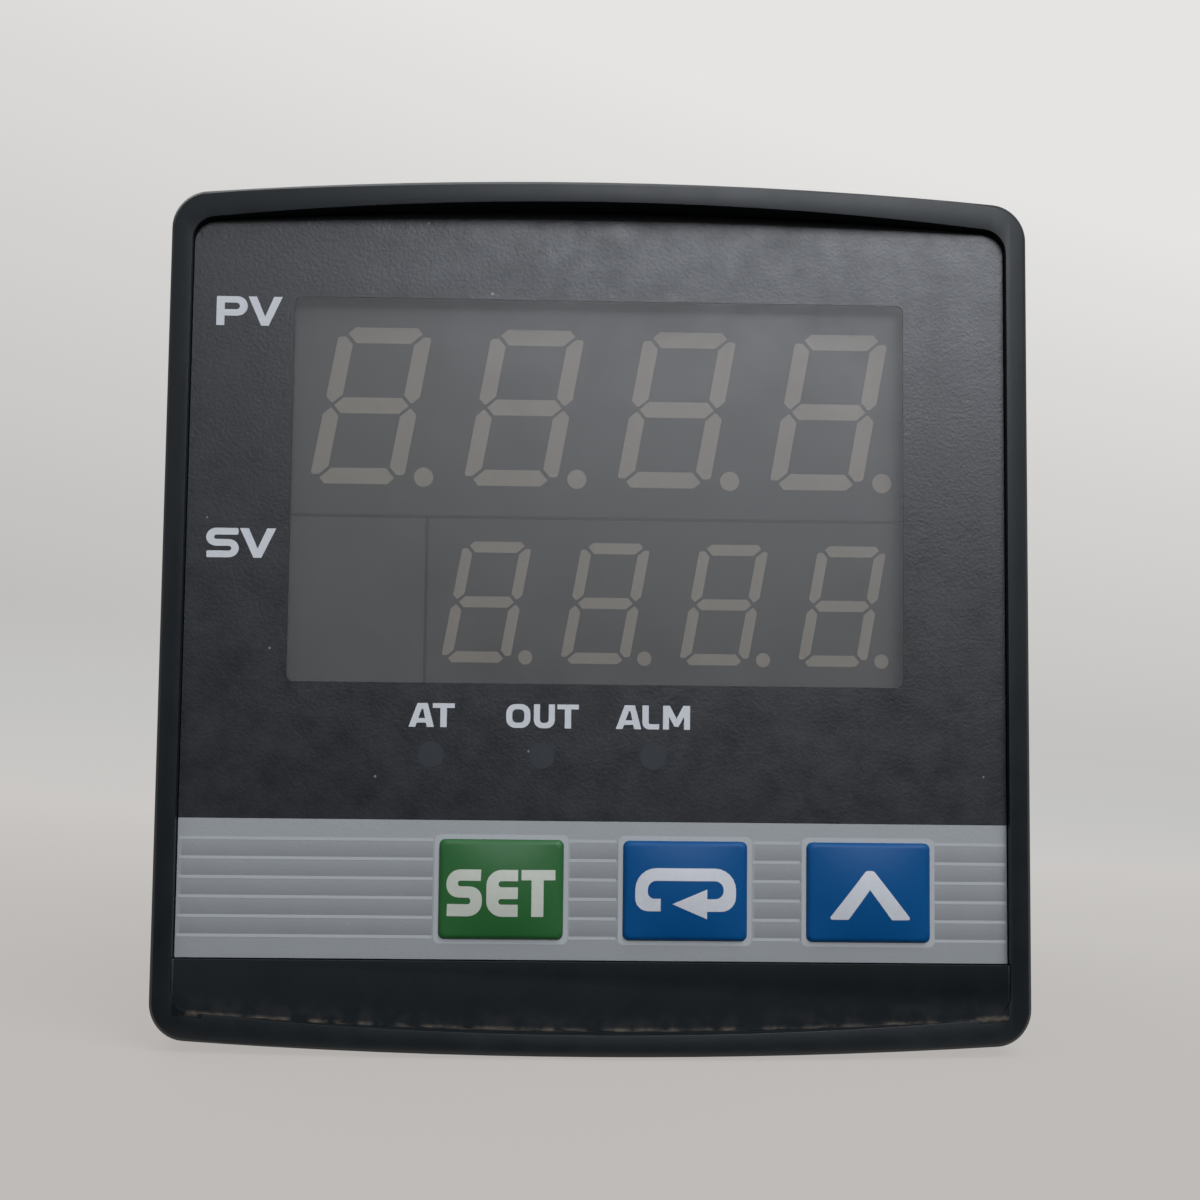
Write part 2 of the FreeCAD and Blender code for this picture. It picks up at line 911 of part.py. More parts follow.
# ================================================================ terminals
def make_terminal_block():
    """The rear moulding: two columns of open wells with ribs between them, and a spigot in the housing."""
    half_x = housing_width / 2
    half_z = housing_height / 2
    body = rounded_block(
        -half_x, half_x, housing_rear_y, block_rear_y, -half_z, half_z, housing_corner_radius
    )
    reach_x = inner_half_width - spigot_gap
    reach_z = inner_half_height - spigot_gap
    spigot = block(-reach_x, reach_x, housing_rear_y - spigot_length, housing_rear_y, -reach_z, reach_z)
    body = fused([body, spigot])

    well_inner_x = half_x - well_reach
    hollow = block(
        -well_inner_x + spigot_wall,
        well_inner_x - spigot_wall,
        housing_rear_y - spigot_length - 1,
        block_rear_y - spigot_wall,
        -reach_z + spigot_wall,
        reach_z - spigot_wall,
    )
    lightening = [
        block(
            min(sx * (reach_x - spigot_wall), sx * (well_inner_x - spigot_wall)),
            max(sx * (reach_x - spigot_wall), sx * (well_inner_x - spigot_wall)),
            housing_rear_y - spigot_length - 1,
            housing_rear_y,
            -reach_z + spigot_wall,
            reach_z - spigot_wall,
        )
        for sx in (-1, 1)
    ]
    cutters = [hollow] + lightening
    for sx in (-1, 1):
        for z in well_centres:
            near = sx * well_inner_x
            far = sx * (half_x + 1)
            low = z - well_width / 2
            high = z + well_width / 2
            cutters.append(
                block(min(near, far), max(near, far), well_floor_y, block_rear_y + 1, low, high)
            )
            cutters.append(tail(sx, z, pocket_gap, housing_rear_y - 1, well_floor_y + 1))
            cutters.append(screw_pocket(sx, z))
    return body.cut(cutters)


def screw_pocket(side, z):
    """The square pocket under a contact plate that leaves room for the screw's end."""
    half = screw_radius + pocket_gap
    x = side * screw_x
    tip_y = well_floor_y + plate_thickness + washer_thickness - screw_length
    return block(x - half, x + half, tip_y - pocket_gap, well_floor_y + 1, z - half, z + half)


def tail(side, z, gap, y0, y1):
    """The flat strip that runs from a contact plate forwards to its side board."""
    inner_x = side_board_x + board_thickness / 2
    low = side * (inner_x - gap)
    high = side * (inner_x + tail_thickness + gap)
    half = tail_width / 2 + gap
    return block(min(low, high), max(low, high), y0, y1, z - half, z + half)


def each_terminal(make_one):
    """A group with one solid for each terminal, both columns."""
    return Part.makeCompound([make_one(sx, z) for sx in (-1, 1) for z in well_centres])


def contact_plate(side, z):
    """A tapped plate on the well's floor with its tail."""
    near = side * (screw_x - plate_length / 2)
    far = side * (screw_x + plate_length / 2)
    plate_back = well_floor_y + plate_thickness
    plate = block(
        min(near, far), max(near, far), well_floor_y, plate_back, z - plate_height / 2, z + plate_height / 2
    )
    strip = tail(side, z, 0, tail_end_y, plate_back)
    hole = rod(screw_radius + screw_hole_gap / 3, side * screw_x, z, well_floor_y - 1, plate_back + 1)
    return fused([plate, strip]).cut(hole)


def clamp_washer(side, z):
    """The square washer under a screw's head."""
    half = washer_size / 2
    y0 = well_floor_y + plate_thickness
    x = side * screw_x
    washer = block(x - half, x + half, y0, y0 + washer_thickness, z - half, z + half)
    hole = rod(screw_radius + screw_hole_gap, x, z, y0 - 1, y0 + washer_thickness + 1)
    return washer.cut(hole)


def terminal_screw(side, z):
    """A pan-head clamp screw with a cross recess."""
    seat_y = well_floor_y + plate_thickness + washer_thickness
    top_y = seat_y + screw_head_height
    x = side * screw_x
    shank = rod(screw_radius, x, z, seat_y - screw_length, seat_y)
    head = rod(screw_head_radius, x, z, seat_y, top_y)
    half_length = cross_slot_length / 2
    half_width_slot = cross_slot_width / 2
    y0 = top_y - cross_slot_depth
    slots = [
        block(x - half_length, x + half_length, y0, top_y + 1, z - half_width_slot, z + half_width_slot),
        block(x - half_width_slot, x + half_width_slot, y0, top_y + 1, z - half_length, z + half_length),
    ]
    return fused([shank, head]).cut(slots)


# ================================================================ write the pieces
def main():
    pv_case, pv_segments = make_pv_display()
    sv_case, sv_segments = make_sv_display()
    pieces = {
        "bezel": make_bezel(),
        "front_film": make_film(),
        "display_window": make_window(),
        "switch_bodies": make_switch_bodies(),
        "upper_display": pv_case,
        "upper_digits": pv_segments,
        "lower_display": sv_case,
        "lower_digits": sv_segments,
        "display_blank": make_display_blank(),
        "indicator_lamps": make_lamps(),
        "front_board": make_front_board(),
        "display_pins": make_display_pins(),
        "power_board": make_side_board(-1),
        "output_board": make_side_board(1),
        "board_headers": make_headers(),
        "transformer_core": make_transformer_core(),
        "transformer_coil": make_transformer_coil(),
        "transformer_base": make_transformer_base(),
        "capacitors": make_capacitors(),
        "fuse": make_fuse(),
        "chips": make_chips(),
        "output_relay": make_relay(output_relay_z),
        "alarm_relay": make_relay(alarm_relay_z),
        "housing": make_housing(),
        "terminal_block": make_terminal_block(),
        "contact_plates": each_terminal(contact_plate),
        "clamp_washers": each_terminal(clamp_washer),
        "terminal_screws": each_terminal(terminal_screw),
    }
    for name, x in zip(("set", "scroll", "up"), key_centres):
        pieces[name + "_key"] = make_key(x)
        pieces[name + "_switch_stem"] = make_switch_stem(x)

    os.makedirs("parts", exist_ok=True)
    for name, shape in pieces.items():
        shape.exportStep(os.path.join("parts", name + ".step"))
        print(name, len(shape.Solids), "solids", round(shape.Volume, 1), "mm3", shape.isValid())


main()
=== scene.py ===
import math

import bmesh
import bpy
from mathutils import Matrix, Vector


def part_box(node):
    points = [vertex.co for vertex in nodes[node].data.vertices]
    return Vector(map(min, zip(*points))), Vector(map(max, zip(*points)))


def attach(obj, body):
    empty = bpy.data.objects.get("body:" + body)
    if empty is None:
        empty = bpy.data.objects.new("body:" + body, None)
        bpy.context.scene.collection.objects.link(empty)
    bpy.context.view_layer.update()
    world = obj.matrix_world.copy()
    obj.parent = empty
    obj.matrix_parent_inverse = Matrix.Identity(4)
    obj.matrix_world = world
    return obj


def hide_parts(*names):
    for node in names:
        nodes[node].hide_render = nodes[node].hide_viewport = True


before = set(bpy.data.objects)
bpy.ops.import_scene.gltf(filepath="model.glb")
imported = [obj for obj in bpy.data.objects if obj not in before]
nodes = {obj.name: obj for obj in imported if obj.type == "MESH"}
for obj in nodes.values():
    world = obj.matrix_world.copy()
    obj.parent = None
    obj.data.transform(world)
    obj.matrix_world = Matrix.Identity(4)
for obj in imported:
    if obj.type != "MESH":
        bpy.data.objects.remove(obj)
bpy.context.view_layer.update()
mm = 0.001
noiseLow, noiseHigh = 0.35, 0.65  # most values of a noise texture lie between these


def linear(code):
    # an sRGB hex colour in the linear form that the shaders work in
    parts = [int(code[i:i + 2], 16) / 255 for i in (1, 3, 5)]
    return [c / 12.92 if c <= 0.04045 else ((c + 0.055) / 1.055) ** 2.4 for c in parts] + [1.0]


def addNode(tree, kind, inputs=None, **settings):
    # each input takes a value, or the output of another node
    node = tree.nodes.new(kind)
    for name, value in settings.items():
        setattr(node, name, value)
    for key, value in (inputs or {}).items():
        if isinstance(value, bpy.types.NodeSocket):
            tree.links.new(value, node.inputs[key])
        else:
            node.inputs[key].default_value = value
    return node


def newMaterial(name):
    material = bpy.data.materials.new(name)
    material.use_nodes = True
    material.node_tree.nodes.clear()
    return material, material.node_tree


def addObject(name, data):
    thing = bpy.data.objects.new(name, data)
    bpy.context.scene.collection.objects.link(thing)
    return thing


def appliedMesh(thing):
    # an object's mesh with its modifiers applied; the object itself goes
    mesh = bpy.data.meshes.new_from_object(thing.evaluated_get(bpy.context.evaluated_depsgraph_get()))
    thing.modifiers.clear()
    bpy.data.objects.remove(thing)
    return mesh


def builtMesh(name, work):
    # the plain mesh of what was built in work
    mesh = bpy.data.meshes.new(name)
    work.to_mesh(mesh)
    work.free()
    return mesh


def grainOf(tree, place, size, depth, detail=3.0):
    # a face's fine grain, from its size and depth in mm: the pattern, and the normal that it tilts
    fine = addNode(tree, "ShaderNodeTexNoise", {"Vector": place, "Scale": 1 / (size * mm), "Detail": detail})
    bump = addNode(tree, "ShaderNodeBump", {"Height": fine.outputs["Fac"], "Distance": depth * mm})
    return fine.outputs["Fac"], bump.outputs["Normal"]


def wipedSheen(tree, place, look):
    # a roughness that is patchy where fingers have wiped the face
    smear = addNode(tree, "ShaderNodeTexNoise", {
        "Vector": place, "Scale": 1 / (look["smear"] * mm), "Detail": 8.0, "Roughness": 0.7})
    sheen = addNode(tree, "ShaderNodeMapRange", {
        "Value": smear.outputs["Fac"], "From Min": noiseLow, "From Max": noiseHigh,
        "To Min": look["clean"], "To Max": look["greasy"]})
    return sheen.outputs["Result"]


plastic = {"blotch": 6.0, "spread": 0.06, "ior": 1.5}  # spread is how far the roughness varies


def mouldedPlastic(name, colour, tint, roughness, grain, depth):
    # injection-moulded plastic: the tool's spark-eroded grain gives it a fine, even, satin surface
    material, tree = newMaterial(name)
    place = addNode(tree, "ShaderNodeTexCoord").outputs["Object"]
    fine, normal = grainOf(tree, place, grain, depth)
    wide = addNode(tree, "ShaderNodeTexNoise", {
        "Vector": place, "Scale": 1 / (plastic["blotch"] * mm), "Detail": 4.0})
    shade = addNode(tree, "ShaderNodeMapRange", {
        "Value": wide.outputs["Fac"], "From Min": noiseLow, "From Max": noiseHigh})
    skin = addNode(tree, "ShaderNodeMix", {
        0: shade.outputs["Result"], 6: linear(colour), 7: linear(tint)}, data_type="RGBA")
    polish = addNode(tree, "ShaderNodeMapRange", {
        "Value": fine, "To Min": roughness - plastic["spread"], "To Max": roughness + plastic["spread"]})
    shader = addNode(tree, "ShaderNodeBsdfPrincipled", {
        "Base Color": skin.outputs[2], "Roughness": polish.outputs["Result"], "IOR": plastic["ior"],
        "Normal": normal})
    addNode(tree, "ShaderNodeOutputMaterial", {"Surface": shader.outputs[0]})
    return material


plating = {"brighter": 0.08, "duller": 0.12}  # how far the roughness goes below and above its mean


def platedMetal(name, colour, tint, roughness, grain):
    # plated sheet or turned metal: bright, with the faint cloudiness of the plating bath
    material, tree = newMaterial(name)
    place = addNode(tree, "ShaderNodeTexCoord").outputs["Object"]
    fine = addNode(tree, "ShaderNodeTexNoise", {"Vector": place, "Scale": 1 / (grain * mm), "Detail": 4.0})
    skin = addNode(tree, "ShaderNodeMix", {
        0: fine.outputs["Fac"], 6: linear(colour), 7: linear(tint)}, data_type="RGBA")
    polish = addNode(tree, "ShaderNodeMapRange", {
        "Value": fine.outputs["Fac"],
        "To Min": roughness - plating["brighter"], "To Max": roughness + plating["duller"]})
    shader = addNode(tree, "ShaderNodeBsdfPrincipled", {
        "Base Color": skin.outputs[2], "Roughness": polish.outputs["Result"], "Metallic": 1.0})
    addNode(tree, "ShaderNodeOutputMaterial", {"Surface": shader.outputs[0]})
    return material


inkLayer = {"cloud": 0.5, "roughness": 0.5, "ior": 1.5}


def matteInk(name, colour, tint, roughness=inkLayer["roughness"]):
    # screen-printed ink: flat and matte, a little uneven where the screen left less of it
    material, tree = newMaterial(name)
    place = addNode(tree, "ShaderNodeTexCoord").outputs["Object"]
    cloud = addNode(tree, "ShaderNodeTexNoise", {
        "Vector": place, "Scale": 1 / (inkLayer["cloud"] * mm), "Detail": 3.0})
    skin = addNode(tree, "ShaderNodeMix", {
        0: cloud.outputs["Fac"], 6: linear(colour), 7: linear(tint)}, data_type="RGBA")
    shader = addNode(tree, "ShaderNodeBsdfPrincipled", {
        "Base Color": skin.outputs[2], "Roughness": roughness, "IOR": inkLayer["ior"]})
    addNode(tree, "ShaderNodeOutputMaterial", {"Surface": shader.outputs[0]})
    return material


film = {
    "black": "#17191d", "blackTint": "#212428", "cloud": 1.2, "halfWidth": 36.0,
    "band": "#9fa2a3", "stripLight": "#9ea1a2", "stripDark": "#898b8c", "lowShade": 0.88,
    "bandTop": -17.16, "bandLow": -28.45, "firstLine": -18.78, "linePitch": 1.576, "lineCount": 6,
    "strips": ((-34.0, -13.23), (-2.08, 1.82), (13.06, 16.94), (28.10, 34.0)),
    # dust: its colour and cover, its cells in mm, a speck's size in its cell, the random value that earns one
    "dust": "#a8a49c", "dustCover": 0.5, "dustCell": 1.8, "dustSize": 0.06, "dustAbove": 0.86,
    "clean": 0.31, "greasy": 0.41, "smear": 3.0, "grain": 0.24, "depth": 0.014, "ior": 1.66,
}


def printedFilm():
    # textured polycarbonate film, printed behind: satin black with a grey key band, and some specks of dust
    material, tree = newMaterial("satin polycarbonate film")
    place = addNode(tree, "ShaderNodeTexCoord").outputs["Object"]
    axes = addNode(tree, "ShaderNodeSeparateXYZ", {"Vector": place})
    x, z = axes.outputs["X"], axes.outputs["Z"]
    cloud = addNode(tree, "ShaderNodeTexNoise", {
        "Vector": place, "Scale": 1 / (film["cloud"] * mm), "Detail": 5.0})
    black = addNode(tree, "ShaderNodeMix", {
        0: cloud.outputs["Fac"], 6: linear(film["black"]), 7: linear(film["blackTint"])}, data_type="RGBA")
    # a saw-tooth shade in each strip, pale under its line
    drop = addNode(tree, "ShaderNodeMath", {0: film["firstLine"] * mm, 1: z}, operation="SUBTRACT")
    line = addNode(tree, "ShaderNodeMath", {
        0: drop.outputs[0], 1: film["linePitch"] * mm}, operation="DIVIDE")
    tooth = addNode(tree, "ShaderNodeMath", {0: line.outputs[0]}, operation="FRACT")
    strip = addNode(tree, "ShaderNodeMix", {
        0: tooth.outputs[0], 6: linear(film["stripLight"]), 7: linear(film["stripDark"])}, data_type="RGBA")
    # the strips stand between the keys: a ramp across the film switches them on and off
    reach = film["halfWidth"]
    across = addNode(tree, "ShaderNodeMapRange", {
        "Value": x, "From Min": -reach * mm, "From Max": reach * mm})
    ramp = addNode(tree, "ShaderNodeValToRGB", {"Fac": across.outputs["Result"]})
    ramp.color_ramp.interpolation = "CONSTANT"
    stops = ramp.color_ramp.elements
    stops[0].color = (0, 0, 0, 1)
    stops.remove(stops[1])
    for start, end in film["strips"]:
        stops.new((start + reach) / (2 * reach)).color = (1, 1, 1, 1)
        stops.new((end + reach) / (2 * reach)).color = (0, 0, 0, 1)
    above = addNode(tree, "ShaderNodeMath", {0: line.outputs[0], 1: 0.0}, operation="GREATER_THAN")
    below = addNode(tree, "ShaderNodeMath", {
        0: line.outputs[0], 1: float(film["lineCount"] - 1)}, operation="LESS_THAN")
    zone = addNode(tree, "ShaderNodeMath", {0: above.outputs[0], 1: below.outputs[0]}, operation="MULTIPLY")
    zone = addNode(tree, "ShaderNodeMath", {
        0: zone.outputs[0], 1: ramp.outputs["Color"]}, operation="MULTIPLY")
    band = addNode(tree, "ShaderNodeMix", {
        0: zone.outputs[0], 6: linear(film["band"]), 7: strip.outputs[2]}, data_type="RGBA")
    # the band's colour darkens a little towards its lower edge
    fade = addNode(tree, "ShaderNodeMapRange", {
        "Value": z, "From Min": film["bandTop"] * mm, "From Max": film["bandLow"] * mm,
        "To Min": 1.0, "To Max": film["lowShade"]})
    band = addNode(tree, "ShaderNodeVectorMath", {
        0: band.outputs[2], "Scale": fade.outputs["Result"]}, operation="SCALE")
    low = addNode(tree, "ShaderNodeMath", {0: z, 1: film["bandTop"] * mm}, operation="LESS_THAN")
    printed = addNode(tree, "ShaderNodeMix", {
        0: low.outputs[0], 6: black.outputs[2], 7: band.outputs[0]}, data_type="RGBA")
    # dust: the few cells whose random value is high each hold one speck
    cells = addNode(tree, "ShaderNodeTexVoronoi", {"Vector": place, "Scale": 1 / (film["dustCell"] * mm)})
    speck = addNode(tree, "ShaderNodeMath", {
        0: cells.outputs["Distance"], 1: film["dustSize"]}, operation="LESS_THAN")
    chosen = addNode(tree, "ShaderNodeSeparateColor", {"Color": cells.outputs["Color"]})
    rare = addNode(tree, "ShaderNodeMath", {
        0: chosen.outputs[0], 1: film["dustAbove"]}, operation="GREATER_THAN")
    dust = addNode(tree, "ShaderNodeMath", {0: speck.outputs[0], 1: rare.outputs[0]}, operation="MULTIPLY")
    dust = addNode(tree, "ShaderNodeMath", {0: dust.outputs[0], 1: film["dustCover"]}, operation="MULTIPLY")
    skin = addNode(tree, "ShaderNodeMix", {
        0: dust.outputs[0], 6: printed.outputs[2], 7: linear(film["dust"])}, data_type="RGBA")
    normal = grainOf(tree, place, film["grain"], film["depth"])[1]
    shader = addNode(tree, "ShaderNodeBsdfPrincipled", {
        "Base Color": skin.outputs[2], "Roughness": wipedSheen(tree, place, film), "IOR": film["ior"],
        "Normal": normal})
    addNode(tree, "ShaderNodeOutputMaterial", {"Surface": shader.outputs[0]})
    return material


keySkin = {"grain": 0.22, "depth": 0.003, "roughness": 0.42, "ior": 1.58}


def keyFilm(name, colour, tint, sheen):
    # embossed polycarbonate key, printed behind: an even colour under a satin skin
    material, tree = newMaterial(name)
    place = addNode(tree, "ShaderNodeTexCoord").outputs["Object"]
    fine, normal = grainOf(tree, place, keySkin["grain"], keySkin["depth"], 2.0)
    skin = addNode(tree, "ShaderNodeMix", {0: fine, 6: linear(colour), 7: linear(tint)}, data_type="RGBA")
    shader = addNode(tree, "ShaderNodeBsdfPrincipled", {
        "Base Color": skin.outputs[2], "Roughness": keySkin["roughness"], "IOR": keySkin["ior"],
        "Specular IOR Level": sheen, "Normal": normal})
    addNode(tree, "ShaderNodeOutputMaterial", {"Surface": shader.outputs[0]})
    return material


pane = {
    "colour": "#4a4a49", "tint": "#5e5c59", "alpha": 0.38, "clean": 0.34, "greasy": 0.46, "smear": 5.0,
    "reflect": 0.87, "ior": 1.7, "grain": 0.3, "depth": 0.01,
}


def smokedPane():
    # smoked polycarbonate with a non-glare face: it veils the digits, scatters light in a fine grain,
    # and reflects at both its faces
    material, tree = newMaterial("smoked non-glare polycarbonate")
    place = addNode(tree, "ShaderNodeTexCoord").outputs["Object"]
    fine, normal = grainOf(tree, place, pane["grain"], pane["depth"])
    skin = addNode(tree, "ShaderNodeMix", {
        0: fine, 6: linear(pane["colour"]), 7: linear(pane["tint"])}, data_type="RGBA")
    shader = addNode(tree, "ShaderNodeBsdfPrincipled", {
        "Base Color": skin.outputs[2], "Roughness": wipedSheen(tree, place, pane), "IOR": pane["ior"],
        "Specular IOR Level": pane["reflect"], "Alpha": pane["alpha"], "Normal": normal})
    addNode(tree, "ShaderNodeOutputMaterial", {"Surface": shader.outputs[0]})
    return material


rim = {
    "colour": "#0f1417", "tint": "#141a1d", "blotch": 2.5, "grain": 0.25, "depth": 0.006,
    # ledgeShadeGloss is the ledge's lower specular level, which paints shade on it
    "roughness": 0.42, "spread": 0.08, "ior": 1.46, "gloss": 0.5, "ledgeShadeGloss": 0.14,
    # the recess's lower edge, where dust gathers: its height at the middle, its bow and its half width, and
    # how deep it starts
    "creaseZ": -34.0, "creaseBow": 1.3, "creaseHalf": 34.2, "ledgeY": -9.6, "filmGap": 0.1,
    "dust": "#564e45", "creaseReach": 0.3, "haze": "#2c2c2d", "hazeReach": 2.4, "hazeCover": 0.5,
    "lumps": 1.4, "lumpFrom": 0.44, "lumpTo": 0.66, "withinSides": 0.99,
}


def dustyRim():
    # fine-grained ABS with a thread of brown dust in the recess's lower crease and a grey bloom above it
    material, tree = newMaterial("fine-grained ABS")
    place = addNode(tree, "ShaderNodeTexCoord").outputs["Object"]
    axes = addNode(tree, "ShaderNodeSeparateXYZ", {"Vector": place})
    wide = addNode(tree, "ShaderNodeTexNoise", {
        "Vector": place, "Scale": 1 / (rim["blotch"] * mm), "Detail": 6.0})
    black = addNode(tree, "ShaderNodeMix", {
        0: wide.outputs["Fac"], 6: linear(rim["colour"]), 7: linear(rim["tint"])}, data_type="RGBA")
    # how far this place is above the crease: z less the crease's height at this x
    across = addNode(tree, "ShaderNodeMath", {
        0: axes.outputs["X"], 1: rim["creaseHalf"] * mm}, operation="DIVIDE")
    across = addNode(tree, "ShaderNodeMath", {0: across.outputs[0], 1: 2.0}, operation="POWER")
    crease = addNode(tree, "ShaderNodeMath", {
        0: across.outputs[0], 1: rim["creaseBow"] * mm, 2: rim["creaseZ"] * mm}, operation="MULTIPLY_ADD")
    above = addNode(tree, "ShaderNodeMath", {
        0: axes.outputs["Z"], 1: crease.outputs[0]}, operation="SUBTRACT")
    off = addNode(tree, "ShaderNodeMath", {0: above.outputs[0]}, operation="ABSOLUTE")
    thread = addNode(tree, "ShaderNodeMapRange", {
        "Value": off.outputs[0], "From Max": rim["creaseReach"] * mm,
        "To Min": 1.0, "To Max": 0.0}, interpolation_type="SMOOTHSTEP")
    bloom = addNode(tree, "ShaderNodeMapRange", {
        "Value": above.outputs[0], "From Max": rim["hazeReach"] * mm,
        "To Min": rim["hazeCover"], "To Max": 0.0}, interpolation_type="SMOOTHSTEP")
    # dust lies only inside the recess, below the film's level: off the rim's face and off the outer walls
    sunk = addNode(tree, "ShaderNodeMath", {
        0: axes.outputs["Y"], 1: rim["ledgeY"] * mm}, operation="GREATER_THAN")
    inside = addNode(tree, "ShaderNodeMath", {
        0: above.outputs[0], 1: -rim["creaseReach"] * mm}, operation="GREATER_THAN")
    between = addNode(tree, "ShaderNodeMath", {
        0: across.outputs[0], 1: rim["withinSides"]}, operation="LESS_THAN")
    held = addNode(tree, "ShaderNodeMath", {0: sunk.outputs[0], 1: inside.outputs[0]}, operation="MULTIPLY")
    held = addNode(tree, "ShaderNodeMath", {0: held.outputs[0], 1: between.outputs[0]}, operation="MULTIPLY")
    lumps = addNode(tree, "ShaderNodeTexNoise", {
        "Vector": place, "Scale": 1 / (rim["lumps"] * mm), "Detail": 5.0})
    patch = addNode(tree, "ShaderNodeMapRange", {
        "Value": lumps.outputs["Fac"], "From Min": rim["lumpFrom"], "From Max": rim["lumpTo"]})
    for mask in (patch, held):
        thread = addNode(tree, "ShaderNodeMath", {
            0: thread.outputs[0], 1: mask.outputs[0]}, operation="MULTIPLY")
        bloom = addNode(tree, "ShaderNodeMath", {
            0: bloom.outputs[0], 1: mask.outputs[0]}, operation="MULTIPLY")
    hazy = addNode(tree, "ShaderNodeMix", {
        0: bloom.outputs[0], 6: black.outputs[2], 7: linear(rim["haze"])}, data_type="RGBA")
    skin = addNode(tree, "ShaderNodeMix", {
        0: thread.outputs[0], 6: hazy.outputs[2], 7: linear(rim["dust"])}, data_type="RGBA")
    polish = addNode(tree, "ShaderNodeMapRange", {
        "Value": wide.outputs["Fac"],
        "To Min": rim["roughness"] - rim["spread"], "To Max": rim["roughness"] + rim["spread"]})
    # painted shade: the ledge under the film, in the recess, gets a lower specular level than the rim, which
    # darkens it as the shade there does
    under = addNode(tree, "ShaderNodeMath", {
        0: axes.outputs["Z"], 1: (film["bandLow"] + rim["filmGap"]) * mm}, operation="LESS_THAN")
    ledge = addNode(tree, "ShaderNodeMath", {0: under.outputs[0], 1: held.outputs[0]}, operation="MULTIPLY")
    gloss = addNode(tree, "ShaderNodeMapRange", {
        "Value": ledge.outputs[0], "To Min": rim["gloss"], "To Max": rim["ledgeShadeGloss"]})
    normal = grainOf(tree, place, rim["grain"], rim["depth"])[1]
    shader = addNode(tree, "ShaderNodeBsdfPrincipled", {
        "Base Color": skin.outputs[2], "Roughness": polish.outputs["Result"], "IOR": rim["ior"],
        "Specular IOR Level": gloss.outputs["Result"], "Normal": normal})
    addNode(tree, "ShaderNodeOutputMaterial", {"Surface": shader.outputs[0]})
    return material


absRim = dustyRim()
absCase = mouldedPlastic("flame-retardant ABS", "#1a1c1e", "#202224", 0.55, 0.3, 0.012)
glassNylon = mouldedPlastic("glass-filled nylon", "#17191a", "#1e2021", 0.5, 0.22, 0.014)
switchNylon = mouldedPlastic("switch nylon", "#1b1c1e", "#242628", 0.5, 0.3, 0.004)
displayCase = mouldedPlastic("grey-faced display case", "#5c5c5b", "#636261", 0.6, 0.3, 0.004)
cloudyEpoxy = mouldedPlastic("cloudy epoxy", "#e9dcc6", "#efe2cd", 0.4, 0.4, 0.002)
boardMask = mouldedPlastic("green solder mask", "#1d5a36", "#226440", 0.35, 0.8, 0.01)
relayCover = mouldedPlastic("relay cover polyester", "#1f4f94", "#26599f", 0.3, 0.5, 0.003)
tinnedWire = platedMetal("tinned pins", "#c8c6c0", "#b5b2aa", 0.3, 0.4)
zincScrew = platedMetal("bright zinc-plated steel", "#cfd2d6", "#b4b8be", 0.26, 0.4)
satinFilm = printedFilm()
whiteInk = matteInk("white screen ink", "#c3c5c8", "#cfd1d4")
keyInk = matteInk("ivory screen ink", "#bbbeb1", "#c6c9bd")
lineInk = matteInk("pale grey screen ink", "#a9acad", "#b1b4b5")
greenFilm = keyFilm("green embossed film", "#255d2c", "#296431", 0.3)
blueFilm = keyFilm("blue embossed film", "#00497f", "#004e86", 0.15)
finishes = {
    "bezel": absRim,
    "front_film": satinFilm,
    "display_window": smokedPane(),
    "set_key": greenFilm,
    "scroll_key": blueFilm,
    "up_key": blueFilm,
    "upper_display": displayCase,
    "lower_display": displayCase,
    "display_blank": mouldedPlastic("grey polystyrene", "#666563", "#6c6a67", 0.6, 0.4, 0.004),
    "upper_digits": cloudyEpoxy,
    "lower_digits": cloudyEpoxy,
    "indicator_lamps": mouldedPlastic("milky epoxy", "#b9b6ae", "#c4c1b9", 0.35, 0.4, 0.002),
    "housing": absCase,
    "terminal_block": glassNylon,
    "contact_plates": platedMetal("tinned brass", "#c9c5b8", "#b8b2a2", 0.32, 0.6),
    "clamp_washers": platedMetal("zinc-plated steel", "#c3c7cc", "#aeb2b8", 0.3, 0.5),
    "terminal_screws": zincScrew,
    "set_switch_stem": switchNylon,
    "scroll_switch_stem": switchNylon,
    "up_switch_stem": switchNylon,
    "switch_bodies": switchNylon,
    "front_board": boardMask,
    "power_board": boardMask,
    "output_board": boardMask,
    "display_pins": tinnedWire,
    "board_headers": mouldedPlastic("header polyester", "#1b1b1c", "#232324", 0.5, 0.3, 0.004),
    "transformer_core": mouldedPlastic("sintered ferrite", "#2c2b2c", "#383637", 0.65, 0.2, 0.02),
    "transformer_coil": mouldedPlastic("polyester winding tape", "#c9a63c", "#b8932e", 0.3, 1.2, 0.02),
    "transformer_base": mouldedPlastic("phenolic bobbin", "#201e1d", "#2a2725", 0.55, 0.3, 0.01),
    "capacitors": mouldedPlastic("heat-shrunk sleeve", "#23314f", "#2b3a5c", 0.3, 0.8, 0.01),
    "fuse": mouldedPlastic("fuse case", "#7c5a36", "#886440", 0.45, 0.4, 0.006),
    "chips": mouldedPlastic("moulded epoxy package", "#202122", "#2a2b2c", 0.6, 0.15, 0.008),
    "output_relay": relayCover,
    "alarm_relay": relayCover,
}
for name, finish in finishes.items():
    mesh = nodes[name].data
    mesh.materials.clear()
    mesh.materials.append(finish)
print("materials on", len(finishes), "nodes")


def addPiece(name, mesh, finish, body, replaced=()):
    mesh.materials.clear()
    mesh.materials.append(finish)
    piece = addObject(name, mesh)
    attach(piece, body)
    if replaced:
        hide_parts(*replaced)
    return piece


